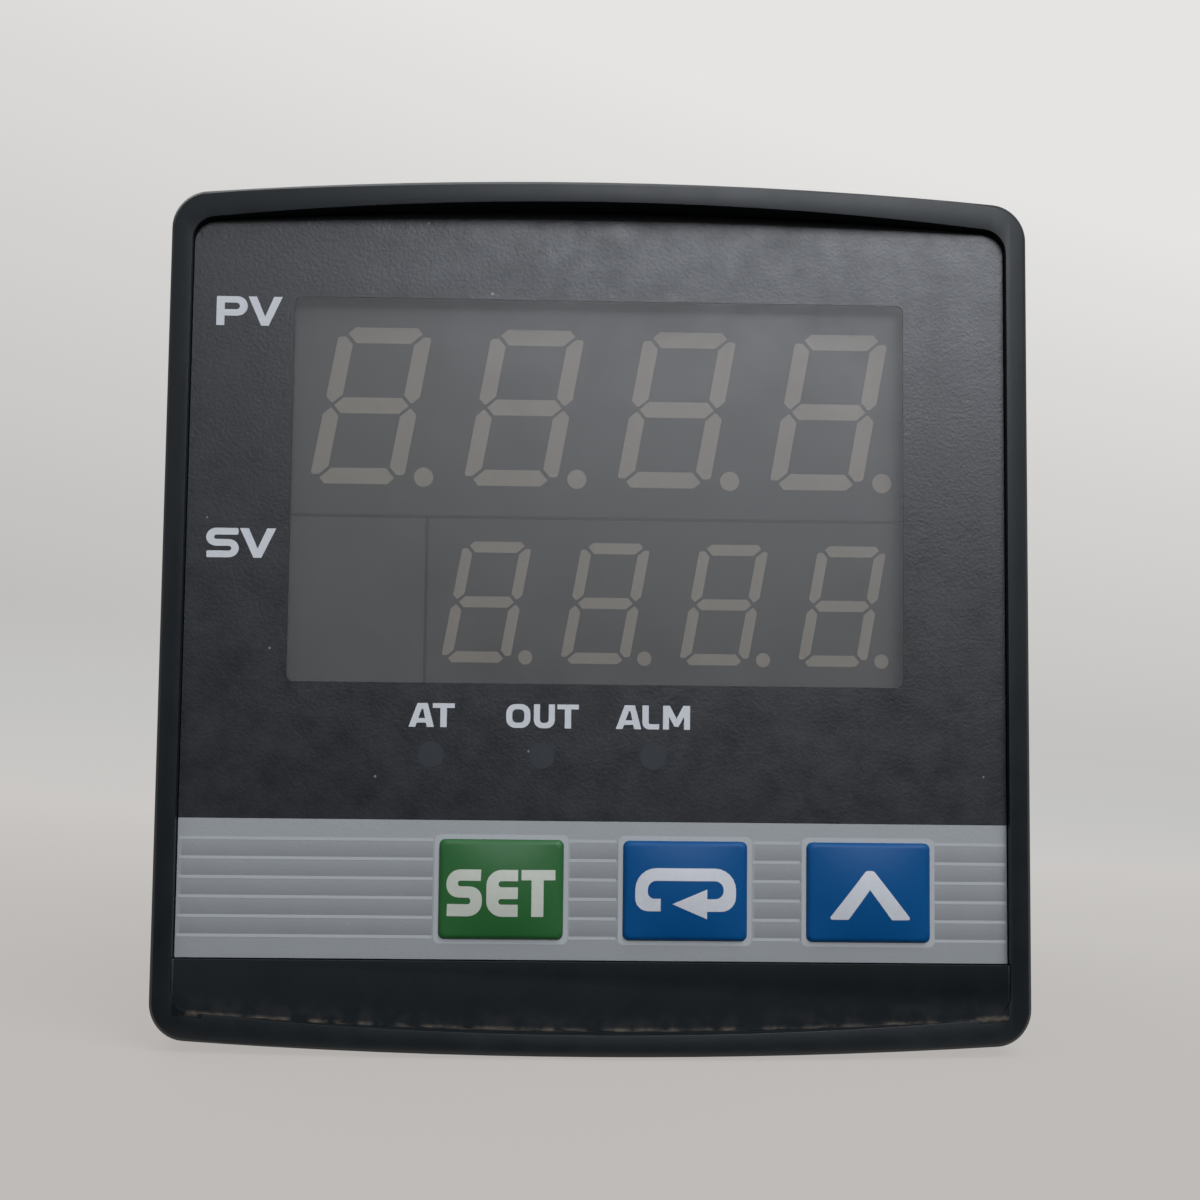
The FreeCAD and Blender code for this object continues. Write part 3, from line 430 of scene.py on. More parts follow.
def roundedLoop(corners, steps=6):
    # corners are (x, z, radius); each gets an arc of that radius, or stays sharp
    points = []
    count = len(corners)
    for i, (x, z, radius) in enumerate(corners):
        here = Vector((x, z))
        before = Vector(corners[i - 1][:2])
        after = Vector(corners[(i + 1) % count][:2])
        if radius <= 0:
            points.append(here)
            continue
        a = (before - here).normalized()
        b = (after - here).normalized()
        half = a.angle(b) / 2
        reach = radius / math.tan(half)
        limit = 0.499 * min((before - here).length, (after - here).length)  # two arcs share each side
        if reach > limit:
            reach = limit
            radius = reach * math.tan(half)
        centre = here + (a + b).normalized() * (radius / math.sin(half))
        start = here + a * reach - centre
        end = here + b * reach - centre
        sweep = start.angle_signed(end)
        for k in range(steps + 1):
            turned = start.copy()
            turned.rotate(Matrix.Rotation(-sweep * k / steps, 2))
            points.append(centre + turned)
    return points


def inkMesh(name, loops, front, lift=0.02):
    # a flat printed shape with holes, facing -Y; its front stands lift mm in front of the surface under it
    curve = bpy.data.curves.new(name, "CURVE")
    curve.dimensions = "2D"
    curve.fill_mode = "BOTH"
    curve.extrude = lift / 2 * mm
    for loop in loops:
        spline = curve.splines.new("POLY")
        spline.points.add(len(loop) - 1)
        for point, (x, z) in zip(spline.points, loop):
            point.co = (x * mm, z * mm, 0, 1)
        spline.use_cyclic_u = True
    mesh = appliedMesh(addObject(name, curve))
    mesh.transform(Matrix.Rotation(math.pi / 2, 4, "X"))
    mesh.transform(Matrix.Translation((0, (front - lift / 2) * mm, 0)))
    tidy = bmesh.new()
    tidy.from_mesh(mesh)
    bmesh.ops.remove_doubles(tidy, verts=tidy.verts, dist=1e-7)
    bmesh.ops.recalc_face_normals(tidy, faces=tidy.faces)
    tidy.to_mesh(mesh)
    tidy.free()
    return mesh


def boxOf(node):
    # a node's lowest and highest corner in millimetres
    low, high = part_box(node)
    return Vector(low) / mm, Vector(high) / mm


# the rim: the moulding with its moulded edge radii; angles in degrees
rimEdges = {"radius": 0.2, "segments": 3, "fromAngle": 28, "flatWithin": 0.5, "sharpFrom": 50}


def rimMesh():
    mesh = nodes["bezel"].data.copy()
    mesh.name = "rimMoulding"
    work = bmesh.new()
    work.from_mesh(mesh)
    bmesh.ops.remove_doubles(work, verts=work.verts, dist=1e-6)
    bmesh.ops.dissolve_limit(
        work, angle_limit=math.radians(rimEdges["flatWithin"]), verts=work.verts, edges=work.edges,
        use_dissolve_boundaries=False)
    for face in work.faces:
        face.smooth = True
    work.to_mesh(mesh)
    work.free()
    draft = addObject("rimMoulding", mesh)
    edge = draft.modifiers.new("edge radius", "BEVEL")
    edge.width = rimEdges["radius"] * mm
    edge.segments = rimEdges["segments"]
    edge.limit_method = "ANGLE"
    edge.angle_limit = math.radians(rimEdges["fromAngle"])
    mesh = appliedMesh(draft)
    for face in mesh.polygons:
        face.use_smooth = True
    mesh.set_sharp_from_angle(angle=math.radians(rimEdges["sharpFrom"]))
    return mesh


addPiece("rimMoulding", rimMesh(), absRim, "case", ("bezel",))
print("rim made")


# printed words in plain wide capitals: each glyph has its width and its outlines in hundredths of its
# height, and each point of an outline its x, z and corner radius
glyphs = {
    "P": (100, [[(0, 0, 0), (0, 100, 4), (100, 100, 33), (100, 33, 33), (26, 33, 0), (26, 0, 0)],
                [(26, 55, 0), (75, 55, 12), (75, 78, 12), (26, 78, 0)]]),
    "V": (110, [[(0, 100, 0), (27, 100, 0), (55, 31, 0), (83, 100, 0), (110, 100, 0), (67, 0, 0),
                 (43, 0, 0)]]),
    "S": (100, [[(98, 100, 5), (0, 100, 31), (0, 39, 31), (77, 39, 8), (77, 23, 8), (2, 23, 4), (2, 0, 4),
                 (100, 0, 31), (100, 62, 31), (24, 62, 8), (24, 77, 8), (98, 77, 5)]]),
    "A": (102, [[(0, 0, 0), (35, 100, 2), (76, 100, 2), (102, 0, 0), (74, 0, 0), (69, 18, 0), (33, 18, 0),
                 (27, 0, 0)],
                [(39, 37, 0), (66, 37, 0), (58, 76, 0), (52, 76, 0)]]),
    "T": (88, [[(0, 100, 0), (88, 100, 0), (88, 80, 0), (57, 80, 0), (57, 0, 0), (31, 0, 0), (31, 80, 0),
                (0, 80, 0)]]),
    "O": (99, [[(0, 0, 38), (0, 100, 38), (99, 100, 38), (99, 0, 38)],
               [(25, 22, 18), (74, 22, 18), (74, 78, 18), (25, 78, 18)]]),
    "U": (86, [[(0, 100, 0), (25, 100, 0), (25, 22, 14), (61, 22, 14), (61, 100, 0), (86, 100, 0),
                (86, 0, 34), (0, 0, 34)]]),
    "L": (67, [[(0, 100, 0), (25, 100, 0), (25, 22, 8), (67, 22, 0), (67, 0, 0), (0, 0, 28)]]),
    "M": (108, [[(0, 0, 0), (0, 100, 0), (27, 100, 0), (54, 46, 0), (81, 100, 0), (108, 100, 0), (108, 0, 0),
                 (84, 0, 0), (84, 54, 0), (62, 12, 0), (46, 12, 0), (24, 54, 0), (24, 0, 0)]]),
    # the key's heavier letters
    "keyS": (74, [[(72, 100, 1), (0, 100, 30), (0, 40, 26), (50, 40, 6), (50, 26, 6), (2, 26, 1), (1, 0, 1),
                   (74, 0, 30), (74, 64, 28), (24, 64, 5), (24, 76, 5), (71, 76, 1)]]),
    "keyE": (65, [[(65, 100, 1), (0, 100, 42), (0, 0, 42), (65, 0, 1), (65, 26, 1), (25, 26, 7), (25, 38, 7),
                   (65, 38, 1), (65, 63, 1), (25, 63, 7), (25, 76, 7), (65, 76, 1)]]),
    "keyT": (70, [[(0, 100, 1), (70, 100, 1), (70, 78, 1), (46, 78, 1), (46, 0, 1), (21, 0, 1), (21, 78, 1),
                   (0, 78, 1)]]),
}


def wordLoops(letters, low, high):
    # letters are (glyph, its start in hundredths); the word is fitted between the corners low and high
    end = max(start + glyphs[glyph][0] for glyph, start in letters)
    loops = []
    for glyph, start in letters:
        for outline in glyphs[glyph][1]:
            loops.append([
                (low[0] + (x + start) / end * (high[0] - low[0]), low[1] + z / 100 * (high[1] - low[1]))
                for x, z in roundedLoop(outline)])
    return loops


words = {
    # each is its letters, each with its start, and its lower left and upper right corner in mm
    "measuredValueWord": ((("P", 0), ("V", 102)), (-32.15, 23.84), (-26.66, 26.31)),
    "setValueWord": ((("S", 0), ("V", 102)), (-32.48, 4.30), (-26.71, 6.76)),
    "tuningWord": ((("A", 0), ("T", 96)), (-15.44, -9.54), (-11.65, -7.57)),
    "outputWord": ((("O", 0), ("U", 113), ("T", 209)), (-7.39, -9.54), (-1.40, -7.57)),
    "alarmWord": ((("A", 0), ("L", 106), ("M", 188)), (1.67, -9.54), (7.82, -7.57)),
}
filmFront = boxOf("front_film")[0].y
for name, (letters, low, high) in words.items():
    addPiece(name, inkMesh(name, wordLoops(letters, low, high), filmFront), whiteInk, "case")
print("words printed")


# the key band's pale lines, one bar for each strip between the keys, repeated down the band
bandLines = {"thick": 0.25, "lift": 0.015}


def boxMesh(name, boxes):
    work = bmesh.new()
    for low, high in boxes:
        place = Matrix.Translation((Vector(low) + Vector(high)) / 2 * mm)
        size = Matrix.Diagonal((*((Vector(high) - Vector(low)) * mm), 1))
        bmesh.ops.create_cube(work, size=1, matrix=place @ size)
    return builtMesh(name, work)


def applyTree(draft, tree, values):
    # sets the tree's inputs by socket, runs it once, and gives the plain mesh
    step = draft.modifiers.new(tree.name, "NODES")
    step.node_group = tree
    for item in tree.interface.items_tree:
        if item.item_type == "SOCKET" and item.in_out == "INPUT" and item.name in values:
            step[item.identifier] = values[item.name]
    bpy.context.view_layer.update()
    return appliedMesh(draft)


def newTree(name, inputs):
    tree = bpy.data.node_groups.new(name, "GeometryNodeTree")
    tree.interface.new_socket("Geometry", in_out="INPUT", socket_type="NodeSocketGeometry")
    for label, kind in inputs.items():
        tree.interface.new_socket(label, in_out="INPUT", socket_type="NodeSocket" + kind)
    tree.interface.new_socket("Geometry", in_out="OUTPUT", socket_type="NodeSocketGeometry")
    return tree, addNode(tree, "NodeGroupInput").outputs


def closeTree(tree, geometry, given):
    solid = addNode(tree, "GeometryNodeRealizeInstances", {"Geometry": geometry})
    coloured = addNode(tree, "GeometryNodeSetMaterial", {
        "Geometry": solid.outputs[0], "Material": given["Finish"]})
    out = addNode(tree, "NodeGroupOutput")
    tree.links.new(coloured.outputs[0], out.inputs[0])


def repeatDown():
    # copies what it is given downwards, count times, a pitch apart
    tree, given = newTree("repeat down", {"Count": "Int", "Pitch": "Float", "Finish": "Material"})
    drop = addNode(tree, "ShaderNodeMath", {0: given["Pitch"], 1: -1.0}, operation="MULTIPLY")
    step = addNode(tree, "ShaderNodeCombineXYZ", {"Z": drop.outputs[0]})
    row = addNode(tree, "GeometryNodeMeshLine", {"Count": given["Count"], "Offset": step.outputs[0]})
    copies = addNode(tree, "GeometryNodeInstanceOnPoints", {
        "Points": row.outputs[0], "Instance": given["Geometry"]})
    closeTree(tree, copies.outputs[0], given)
    return tree


topLine = [
    ((start, filmFront - bandLines["lift"], film["firstLine"] - bandLines["thick"] / 2),
     (end, filmFront, film["firstLine"] + bandLines["thick"] / 2))
    for start, end in film["strips"]]
mesh = applyTree(addObject("bandLine", boxMesh("bandLine", topLine)), repeatDown(), {
    "Count": film["lineCount"], "Pitch": film["linePitch"] * mm, "Finish": lineInk})
addPiece("bandLines", mesh, lineInk, "case")
print("band lines printed")


# keys: an embossed pillow on its flange and plunger, with a printed sign, and a pale ring round it
keys = {
    "crown": 0.5, "roll": 0.35, "cornerRadius": 0.5, "faceDepth": 0.3,
    "flangeFront": -5.95, "flangeBack": -5.15, "plunger": 1.9,
    "ring": 0.38, "ringGap": 0.01, "ringLift": 0.015, "ringSteps": 6, "signLift": 0.02, "signCuts": 8,
    "around": 12, "sideSteps": 12, "rollSteps": 5, "faceRings": (0.12, 0.3, 0.5, 0.68, 0.82, 0.9),
}
keyLooks = {
    "set": (greenFilm, keyInk, "green_key"),
    "scroll": (blueFilm, whiteInk, "blue_key"),
    "up": (blueFilm, whiteInk, "blue_key"),
}


def keyCrown(x, z, centre, half):
    # how far the key's face stands out at this place, from its rolled edge to its gentle crown
    u = min(1.0, abs(x - centre.x) / half.x)
    v = min(1.0, abs(z - centre.z) / half.z)
    return keys["crown"] * (1 - u * u) * (1 - v * v)


def rectLoop(centre, halfX, halfZ, radius, steps, sideSteps=1):
    # a rounded rectangle, with its straight sides cut into sideSteps lengths
    corners = [(centre.x - halfX, centre.z - halfZ, radius), (centre.x - halfX, centre.z + halfZ, radius),
               (centre.x + halfX, centre.z + halfZ, radius), (centre.x + halfX, centre.z - halfZ, radius)]
    outline = roundedLoop(corners, steps)
    loop = []
    for k, point in enumerate(outline):
        loop.append(point)
        if (k + 1) % (steps + 1) == 0:
            after = outline[(k + 1) % len(outline)]
            loop += [point.lerp(after, j / sideSteps) for j in range(1, sideSteps)]
    return loop


def keySizes(node):
    # the key's opening in the film, from the solid: its face is the part in front of the flange
    low, high = boxOf(node)
    centre = (low + high) / 2
    front = [v.co / mm for v in nodes[node].data.vertices if v.co.y / mm < low.y + keys["faceDepth"]]
    half = Vector((max(abs(v.x - centre.x) for v in front), 0, max(abs(v.z - centre.z) for v in front)))
    return low, high, centre, half


def ringMesh(name, rings, firstTip, lastTip, sharpFrom=35):
    # joins rings with the same number of points, and closes both ends on a point
    work = bmesh.new()
    made = [[work.verts.new(Vector(p) * mm) for p in ring] for ring in rings]
    count = len(rings[0])
    for a, b in zip(made, made[1:]):
        for k in range(count):
            work.faces.new((a[k], a[(k + 1) % count], b[(k + 1) % count], b[k]))
    for ring, tip in ((made[0], firstTip), (made[-1], lastTip)):
        point = work.verts.new(Vector(tip) * mm)
        for k in range(count):
            work.faces.new((ring[k], ring[(k + 1) % count], point))
    bmesh.ops.recalc_face_normals(work, faces=work.faces)
    for face in work.faces:
        face.smooth = True
    mesh = builtMesh(name, work)
    mesh.set_sharp_from_angle(angle=math.radians(sharpFrom))
    return mesh


def keyMesh(name, low, high, centre, half):
    top = low.y
    flangeFront, flangeBack = keys["flangeFront"], keys["flangeBack"]
    around, sideSteps, rollSteps = keys["around"], keys["sideSteps"], keys["rollSteps"]
    outline = rectLoop(centre, half.x, half.z, keys["cornerRadius"], around, sideSteps)
    rings = []
    for share in keys["faceRings"]:
        ring = [(centre.x + (x - centre.x) * share, centre.z + (z - centre.z) * share) for x, z in outline]
        rings.append([(x, top - keyCrown(x, z, centre, half), z) for x, z in ring])
    for k in range(rollSteps + 1):
        # the roll from the face into the side wall
        turn = math.pi / 2 * k / rollSteps
        inset = keys["roll"] * (1 - math.sin(turn))
        drop = keys["roll"] * (1 - math.cos(turn))
        crown = 1 - k / rollSteps
        loop = rectLoop(centre, half.x - inset, half.z - inset, keys["cornerRadius"], around, sideSteps)
        rings.append([(x, top - keyCrown(x, z, centre, half) * crown + drop, z) for x, z in loop])
    rings.append([(x, flangeFront, z) for x, z in outline])
    flangeX, flangeZ = high.x - centre.x, high.z - centre.z
    flange = rectLoop(centre, flangeX, flangeZ, keys["cornerRadius"], around, sideSteps)
    rings.append([(x, flangeFront, z) for x, z in flange])
    rings.append([(x, flangeBack, z) for x, z in flange])
    rod = [Vector((x - centre.x, z - centre.z)).normalized() * keys["plunger"] for x, z in flange]
    rings.append([(centre.x + p.x, flangeBack, centre.z + p.y) for p in rod])
    rings.append([(centre.x + p.x, high.y, centre.z + p.y) for p in rod])
    return ringMesh(name, rings, (centre.x, top - keys["crown"], centre.z), (centre.x, high.y, centre.z))


def signMesh(name, loops, top, centre, half):
    # a flat sign cut into small faces and laid on the key's crown
    mesh = inkMesh(name, loops, 0.0, keys["signLift"] * 2)
    cuts = keys["signCuts"]
    work = bmesh.new()
    work.from_mesh(mesh)
    for axis, middle, reach in ((0, centre.x, half.x), (2, centre.z, half.z)):
        for k in range(-cuts, cuts + 1):
            point = [0, 0, 0]
            point[axis] = (middle + reach * k / cuts) * mm
            normal = [0, 0, 0]
            normal[axis] = 1
            bmesh.ops.bisect_plane(
                work, geom=work.verts[:] + work.edges[:] + work.faces[:], plane_co=point, plane_no=normal)
    for v in work.verts:
        v.co.y += (top + keys["signLift"] - keyCrown(v.co.x / mm, v.co.z / mm, centre, half)) * mm
    work.to_mesh(mesh)
    work.free()
    return mesh


def keySigns():
    # the three signs, measured from their key's centre: a word, an arrow that turns back, and a chevron
    setWord = wordLoops((("keyS", 0), ("keyE", 83), ("keyT", 155)), (-4.45, -2.16), (4.44, 1.64))
    bar, end = 1.02, 1.75  # the arrow's stroke, and the radius of its ends
    left, right, high, low = -4.11, 4.15, 1.89, -1.61
    arrow = roundedLoop([
        (left + 2.07, low, 0), (left, low, end), (left, high, end), (right, high, end), (right, low, end),
        (left + 5.88, low, 0), (left + 5.88, high - 4.11, 0), (left + 3.03, high - 2.90, 0),
        (left + 5.88, high - 1.69, 0), (left + 5.88, low + bar, 0), (right - bar, low + bar, end - bar),
        (right - bar, high - bar, end - bar), (left + bar, high - bar, end - bar),
        (left + bar, low + bar, end - bar), (left + 2.07, low + bar, 0)])
    chevron = roundedLoop([
        (-3.35, -2.17, 0.15), (-0.28, 1.82, 0.35), (0.34, 1.82, 0.35), (3.5, -2.17, 0.15),
        (1.86, -2.17, 0.15), (0.02, 0.28, 0), (-1.72, -2.17, 0.15)])
    return {"set": setWord, "scroll": [arrow], "up": [chevron]}


signs = keySigns()
for key, (finish, ink, slotName) in keyLooks.items():
    low, high, centre, half = keySizes(key + "_key")
    body = key + "_button"
    mesh = keyMesh(key + "KeyPad", low, high, centre, half)
    addPiece(key + "KeyPad", mesh, finish, body, (key + "_key",))
    loops = [[(x + centre.x, z + centre.z) for x, z in loop] for loop in signs[key]]
    addPiece(key + "KeySign", signMesh(key + "KeySign", loops, low.y, centre, half), ink, body)
    gap, wide = keys["ringGap"], keys["ringGap"] + keys["ring"]
    inner = rectLoop(centre, half.x + gap, half.z + gap, keys["cornerRadius"], keys["ringSteps"])
    outer = rectLoop(centre, half.x + wide, half.z + wide, keys["cornerRadius"], keys["ringSteps"])
    mesh = inkMesh(key + "KeyRing", [outer, inner], filmFront, keys["ringLift"])
    addPiece(key + "KeyRing", mesh, lineInk, "case")
print("keys made")


# the lamps' windows in the film: faint discs of thinner print
lampSpots = {"radius": 1.07, "z": -11.8, "xs": (-13.55, -4.43, 4.78), "lift": 0.01, "around": 48}
spotInk = matteInk("dead-front ink", "#2f3236", "#36393d", 0.36)
angles = [math.tau * k / lampSpots["around"] for k in range(lampSpots["around"])]
discs = [
    [(x + lampSpots["radius"] * math.cos(a), lampSpots["z"] + lampSpots["radius"] * math.sin(a))
     for a in angles] for x in lampSpots["xs"]]
addPiece("lampSpots", inkMesh("lampSpots", discs, filmFront, lampSpots["lift"]), spotInk, "case")


# terminal screws: domed pan heads with a cross recess, turned at random as they were left
screws = {
    "rows": 7, "seed": 4, "headRadius": 2.8, "headHeight": 2.0, "headEdge": 0.12, "dome": 0.85,
    "domeSteps": 6, "shankRadius": 1.45, "tipInset": 0.25, "tipRise": 0.3,
    # the recess narrows to floorLong and floorWide of its length and width at its floor
    "recessLong": 3.6, "recessWide": 0.75, "recessDeep": 1.2, "floorLong": 0.45, "floorWide": 0.6,
    "cutAbove": 0.5,
}


def latheMesh(name, profile, around=28):
    # turns a profile of (radius, y) about the y axis; the profile starts and ends on the axis
    rings = [[(r * math.cos(math.tau * k / around), y, r * math.sin(math.tau * k / around))
              for k in range(around)] for r, y in profile[1:-1]]
    return ringMesh(name, rings, (0, profile[0][1], 0), (0, profile[-1][1], 0))


def screwMesh():
    low, high = boxOf("terminal_screws")
    top = high.y - low.y  # y runs from the shank's tip at 0 to the head's top
    r, shank = screws["headRadius"], screws["shankRadius"]
    seat, edge = top - screws["headHeight"], screws["headEdge"]
    dome, steps = screws["dome"], screws["domeSteps"]
    profile = [
        (0, 0), (shank - screws["tipInset"], 0), (shank, screws["tipRise"]), (shank, seat), (r - edge, seat),
        (r, seat + edge)]
    for a in [math.pi / 2 * k / steps for k in range(steps)]:
        profile.append((r * math.cos(a), top - dome + dome * math.sin(a)))
    profile.append((0, top))
    head = addObject("screwHead", latheMesh("screwHead", profile))
    long, wide = screws["recessLong"] / 2, screws["recessWide"] / 2
    levels = (
        (top + screws["cutAbove"], long, wide),
        (top - screws["recessDeep"], long * screws["floorLong"], wide * screws["floorWide"]))
    work = bmesh.new()
    for turn in (0, math.pi / 2):
        made = []
        for y, reach, half in levels:
            for sx, sz in ((-1, -1), (1, -1), (1, 1), (-1, 1)):
                p = Vector((sx * reach, y, sz * half))
                p.rotate(Matrix.Rotation(turn, 3, "Y"))
                made.append(work.verts.new(p * mm))
        for quad in ((0, 1, 2, 3), (7, 6, 5, 4), (0, 4, 5, 1), (1, 5, 6, 2), (2, 6, 7, 3), (3, 7, 4, 0)):
            work.faces.new([made[i] for i in quad])
    bmesh.ops.recalc_face_normals(work, faces=work.faces)
    cutter = addObject("recess", builtMesh("recess", work))
    carve = head.modifiers.new("recess", "BOOLEAN")
    carve.operation = "DIFFERENCE"
    carve.object = cutter
    carve.solver = "EXACT"
    carve.use_self = True
    mesh = appliedMesh(head)
    bpy.data.objects.remove(cutter)
    return mesh


def repeatScrews():
    # two columns of the given screw, each turned by its own random angle
    tree, given = newTree("screw columns", {
        "Rows": "Int", "Width": "Float", "Height": "Float", "Place": "Vector", "Seed": "Int",
        "Finish": "Material"})
    grid = addNode(tree, "GeometryNodeMeshGrid", {
        "Size X": given["Width"], "Size Y": given["Height"], "Vertices X": 2, "Vertices Y": given["Rows"]})
    upright = addNode(tree, "GeometryNodeTransform", {
        "Geometry": grid.outputs[0], "Translation": given["Place"], "Rotation": (math.pi / 2, 0, 0)})
    angle = addNode(tree, "FunctionNodeRandomValue", {
        0: (0, 0, 0), 1: (0, math.tau, 0), "Seed": given["Seed"]}, data_type="FLOAT_VECTOR")
    copies = addNode(tree, "GeometryNodeInstanceOnPoints", {
        "Points": upright.outputs[0], "Instance": given["Geometry"], "Rotation": angle.outputs[0]})
    closeTree(tree, copies.outputs[0], given)
    return tree


low, high = boxOf("terminal_screws")
reach = screws["headRadius"]
mesh = applyTree(addObject("screwDraft", screwMesh()), repeatScrews(), {
    "Rows": screws["rows"], "Width": (high.x - low.x - 2 * reach) * mm,
    "Height": (high.z - low.z - 2 * reach) * mm, "Place": (0, low.y * mm, (low.z + high.z) / 2 * mm),
    "Seed": screws["seed"], "Finish": zincScrew})
addPiece("terminalScrewHeads", mesh, zincScrew, "case", ("terminal_screws",))
print("terminal screws made")


# camera, lamps, backdrop and room
view = {"place": (-2.92, -153.06, -10.05), "turn": (94.427, -0.624, -1.306), "lens": 52.32, "sensor": 36,
        "nearest": 5}
camera = addObject("camera", bpy.data.cameras.new("camera"))
camera.location = [v * mm for v in view["place"]]
camera.rotation_euler = [math.radians(a) for a in view["turn"]]
camera.data.lens = view["lens"]
camera.data.sensor_width = view["sensor"]
camera.data.clip_start = view["nearest"] * mm
bpy.context.scene.camera = camera

lights = {
    # each is its centre, what it looks at, its width and its height in mm, its power in watts, its colour
    "windowLight": ((135, -550, 255), (0, -10, 0), 420, 200, 1.6, "#f3f7ff"),
    "highLight": ((200, -330, 470), (0, -10, 0), 300, 250, 1.85, "#f3f7ff"),
    "sideLight": ((-420, -430, 90), (0, -10, 0), 260, 420, 0.1, "#f6f9ff"),
    "topLight": ((-60, 60, 700), (0, 0, 0), 500, 500, 1.6, "#fbfcff"),
    "rearLight": ((-300, 480, 480), (0, 60, 0), 500, 400, 1.6, "#ffffff"),
}
for name, (place, aim, width, height, power, colour) in lights.items():
    lamp = bpy.data.lights.new(name, "AREA")
    lamp.shape = "RECTANGLE"
    lamp.size = width * mm
    lamp.size_y = height * mm
    lamp.energy = power
    lamp.color = linear(colour)[:3]
    holder = addObject(name, lamp)
    holder.location = Vector(place) * mm
    holder.rotation_euler = (Vector(aim) - Vector(place)).to_track_quat("-Z", "Y").to_euler()
    holder.visible_camera = False

stage = {
    # the sheet lies flat from front to bend, turns up and ends at wallTop
    "floorZ": -36.0, "halfWidth": 3000.0, "front": -2500.0, "bend": 300.0, "bendRadius": 1800.0,
    "bendSteps": 48, "wallTop": 3000.0, "albedo": "#51504e",
    # its own tone: where along it, from 0 at glowFrom to 1 at glowTo, and the colour there; the tones hold
    # painted shade, darker towards the front under the object, and glowLean makes them darker to the left
    "glowFrom": -100.0, "glowTo": 2600.0, "glowLean": 0.8,
    "tones": (
        (0.0, "#aeaaa7"), (0.06, "#b5b2af"), (0.13, "#bebbb9"), (0.22, "#babab8"), (0.3, "#bbb9b7"),
        (0.5, "#c8c6c4"), (0.8, "#d7d6d4"), (1.0, "#e2e1df")),
}


def stripMesh(name, profile, halfWidth):
    # a sheet bent along its profile of (y, z), with its upper side towards the object
    work = bmesh.new()
    rows = [[work.verts.new(Vector((x, y, z)) * mm) for x in (-halfWidth, halfWidth)] for y, z in profile]
    for a, b in zip(rows, rows[1:]):
        work.faces.new((a[0], a[1], b[1], b[0])).smooth = True
    return builtMesh(name, work)


def addStage(name, mesh, finish):
    mesh.materials.append(finish)
    sheet = addObject(name, mesh)
    return sheet


def paperSweep():
    # matte backdrop paper: mid grey in its own light, and pale to the eye and in metal and glass. Its pale
    # tone carries painted shade: darker towards the front under the object, and darker to the left.
    material, tree = newMaterial("matte backdrop paper")
    board = addNode(tree, "ShaderNodeBsdfDiffuse", {"Color": linear(stage["albedo"])})
    place = addNode(tree, "ShaderNodeTexCoord").outputs["Object"]
    axes = addNode(tree, "ShaderNodeSeparateXYZ", {"Vector": place})
    along = addNode(tree, "ShaderNodeMath", {0: axes.outputs["Y"], 1: axes.outputs["Z"]}, operation="ADD")
    along = addNode(tree, "ShaderNodeMath", {
        0: axes.outputs["X"], 1: stage["glowLean"], 2: along.outputs[0]}, operation="MULTIPLY_ADD")
    share = addNode(tree, "ShaderNodeMapRange", {
        "Value": along.outputs[0], "From Min": stage["glowFrom"] * mm, "From Max": stage["glowTo"] * mm})
    tone = addNode(tree, "ShaderNodeValToRGB", {"Fac": share.outputs["Result"]})
    stops = tone.color_ramp.elements
    stops.remove(stops[1])
    (spot, colour), *others = stage["tones"]
    stops[0].position, stops[0].color = spot, linear(colour)
    for spot, colour in others:
        stops.new(spot).color = linear(colour)
    glow = addNode(tree, "ShaderNodeEmission", {"Color": tone.outputs["Color"], "Strength": 1.0})
    path = addNode(tree, "ShaderNodeLightPath")
    seen = addNode(tree, "ShaderNodeMath", {
        0: path.outputs["Is Camera Ray"], 1: path.outputs["Is Transmission Ray"]}, operation="MAXIMUM")
    seen = addNode(tree, "ShaderNodeMath", {
        0: seen.outputs[0], 1: path.outputs["Is Glossy Ray"]}, operation="MAXIMUM")
    unlit = addNode(tree, "ShaderNodeMixShader", {0: seen.outputs[0]})
    tree.links.new(glow.outputs[0], unlit.inputs[2])
    both = addNode(tree, "ShaderNodeAddShader", {0: board.outputs[0], 1: unlit.outputs[0]})
    addNode(tree, "ShaderNodeOutputMaterial", {"Surface": both.outputs[0]})
    return material


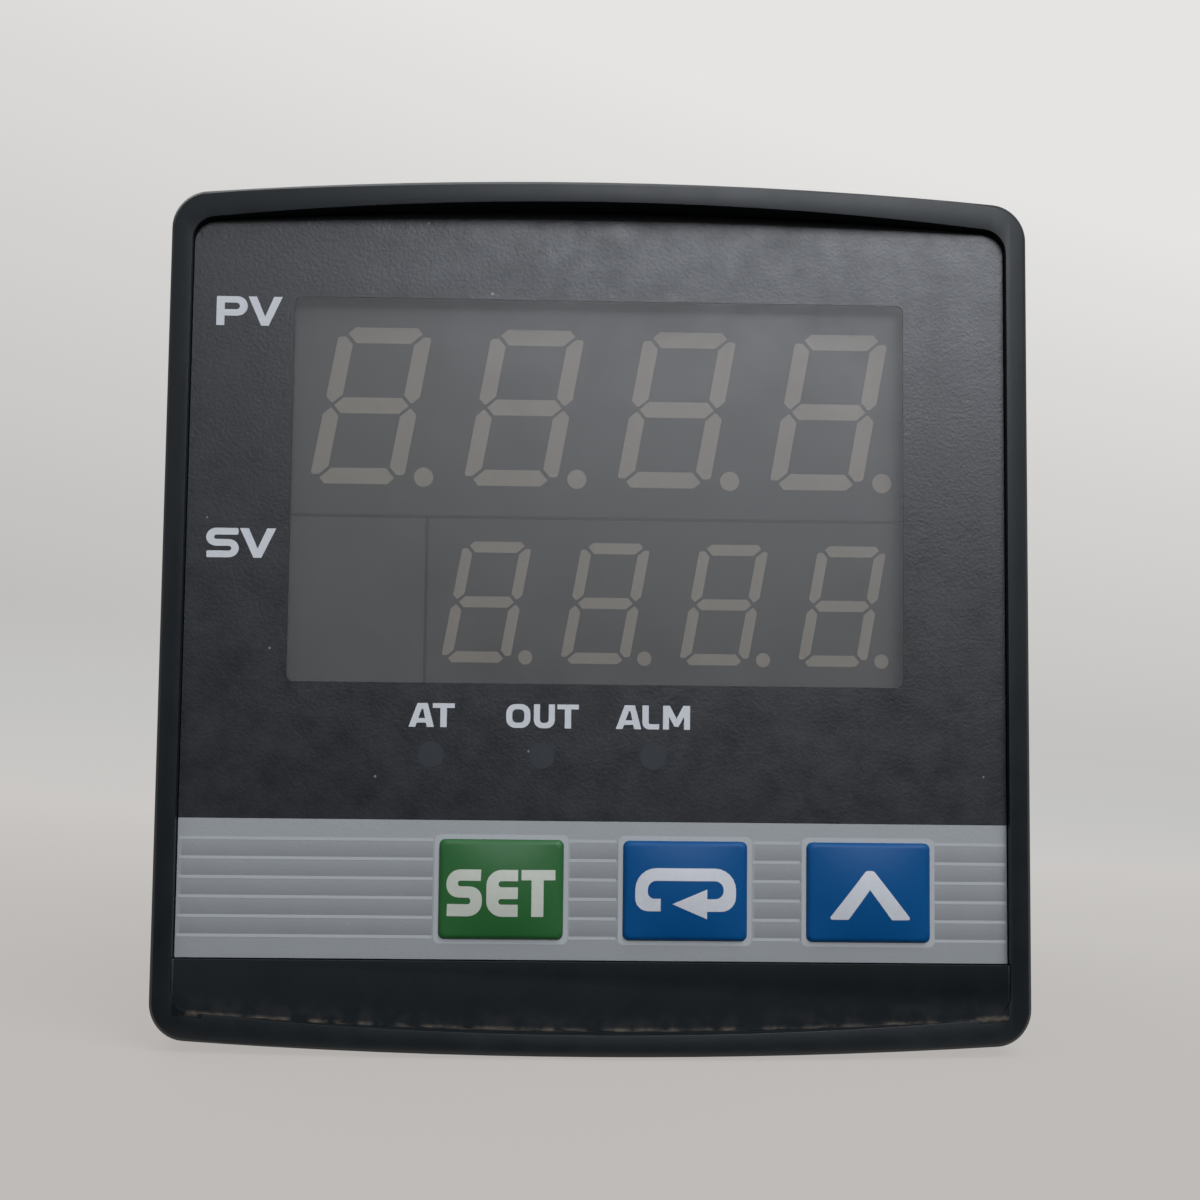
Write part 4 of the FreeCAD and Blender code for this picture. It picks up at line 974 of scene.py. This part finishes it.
def darkReflectionSheet():
    # painted shade: a matte black that gives back almost no light, standing in for the dark room that the
    # face mirrors
    material, tree = newMaterial("painted dark reflection")
    cloth = addNode(tree, "ShaderNodeBsdfDiffuse", {"Color": linear("#0c0c0d")})
    addNode(tree, "ShaderNodeOutputMaterial", {"Surface": cloth.outputs[0]})
    return material


z, r, bend, steps = stage["floorZ"], stage["bendRadius"], stage["bend"], stage["bendSteps"]
sweep = [(stage["front"], z), (bend, z)]
for a in [math.pi / 2 * k / steps for k in range(1, steps + 1)]:
    sweep.append((bend + r * math.sin(a), z + r * (1 - math.cos(a))))
sweep.append((bend + r, stage["wallTop"]))
addStage("paperSweep", stripMesh("paperSweep", sweep, stage["halfWidth"]), paperSweep())

# painted shade in the reflections: black sheets on the floor and behind the camera, seen only in what the
# face mirrors and throwing no shadow, stand in for the dark room in front
flags = {
    # each is its profile of (y, z) and its half width in mm
    "floorFlag": (((-700, -35.5), (-12, -35.5)), 700.0),
    "cameraFlag": (((-420, 60), (-420, -36)), 300.0),
}
paintedDark = darkReflectionSheet()
for name, (profile, halfWidth) in flags.items():
    card = addStage(name, stripMesh(name, profile, halfWidth), paintedDark)
    card.visible_camera = False
    card.visible_shadow = False
    card.visible_transmission = False
    card.visible_diffuse = False

surround = {"pale": "#dcdbd8", "paleStrength": 1.0, "room": "#c9ccd0", "roomStrength": 0.5}
world = bpy.data.worlds.new("room")
world.use_nodes = True
tree = world.node_tree
tree.nodes.clear()
room = addNode(tree, "ShaderNodeBackground", {
    "Color": linear(surround["room"]), "Strength": surround["roomStrength"]})
pale = addNode(tree, "ShaderNodeBackground", {
    "Color": linear(surround["pale"]), "Strength": surround["paleStrength"]})
path = addNode(tree, "ShaderNodeLightPath")
seen = addNode(tree, "ShaderNodeMath", {
    0: path.outputs["Is Camera Ray"], 1: path.outputs["Is Transmission Ray"]}, operation="MAXIMUM")
mixed = addNode(tree, "ShaderNodeMixShader", {0: seen.outputs[0], 1: room.outputs[0], 2: pale.outputs[0]})
addNode(tree, "ShaderNodeOutputWorld", {"Surface": mixed.outputs[0]})
bpy.context.scene.world = world

bpy.context.scene.view_settings.view_transform = "Standard"
print("stage set")
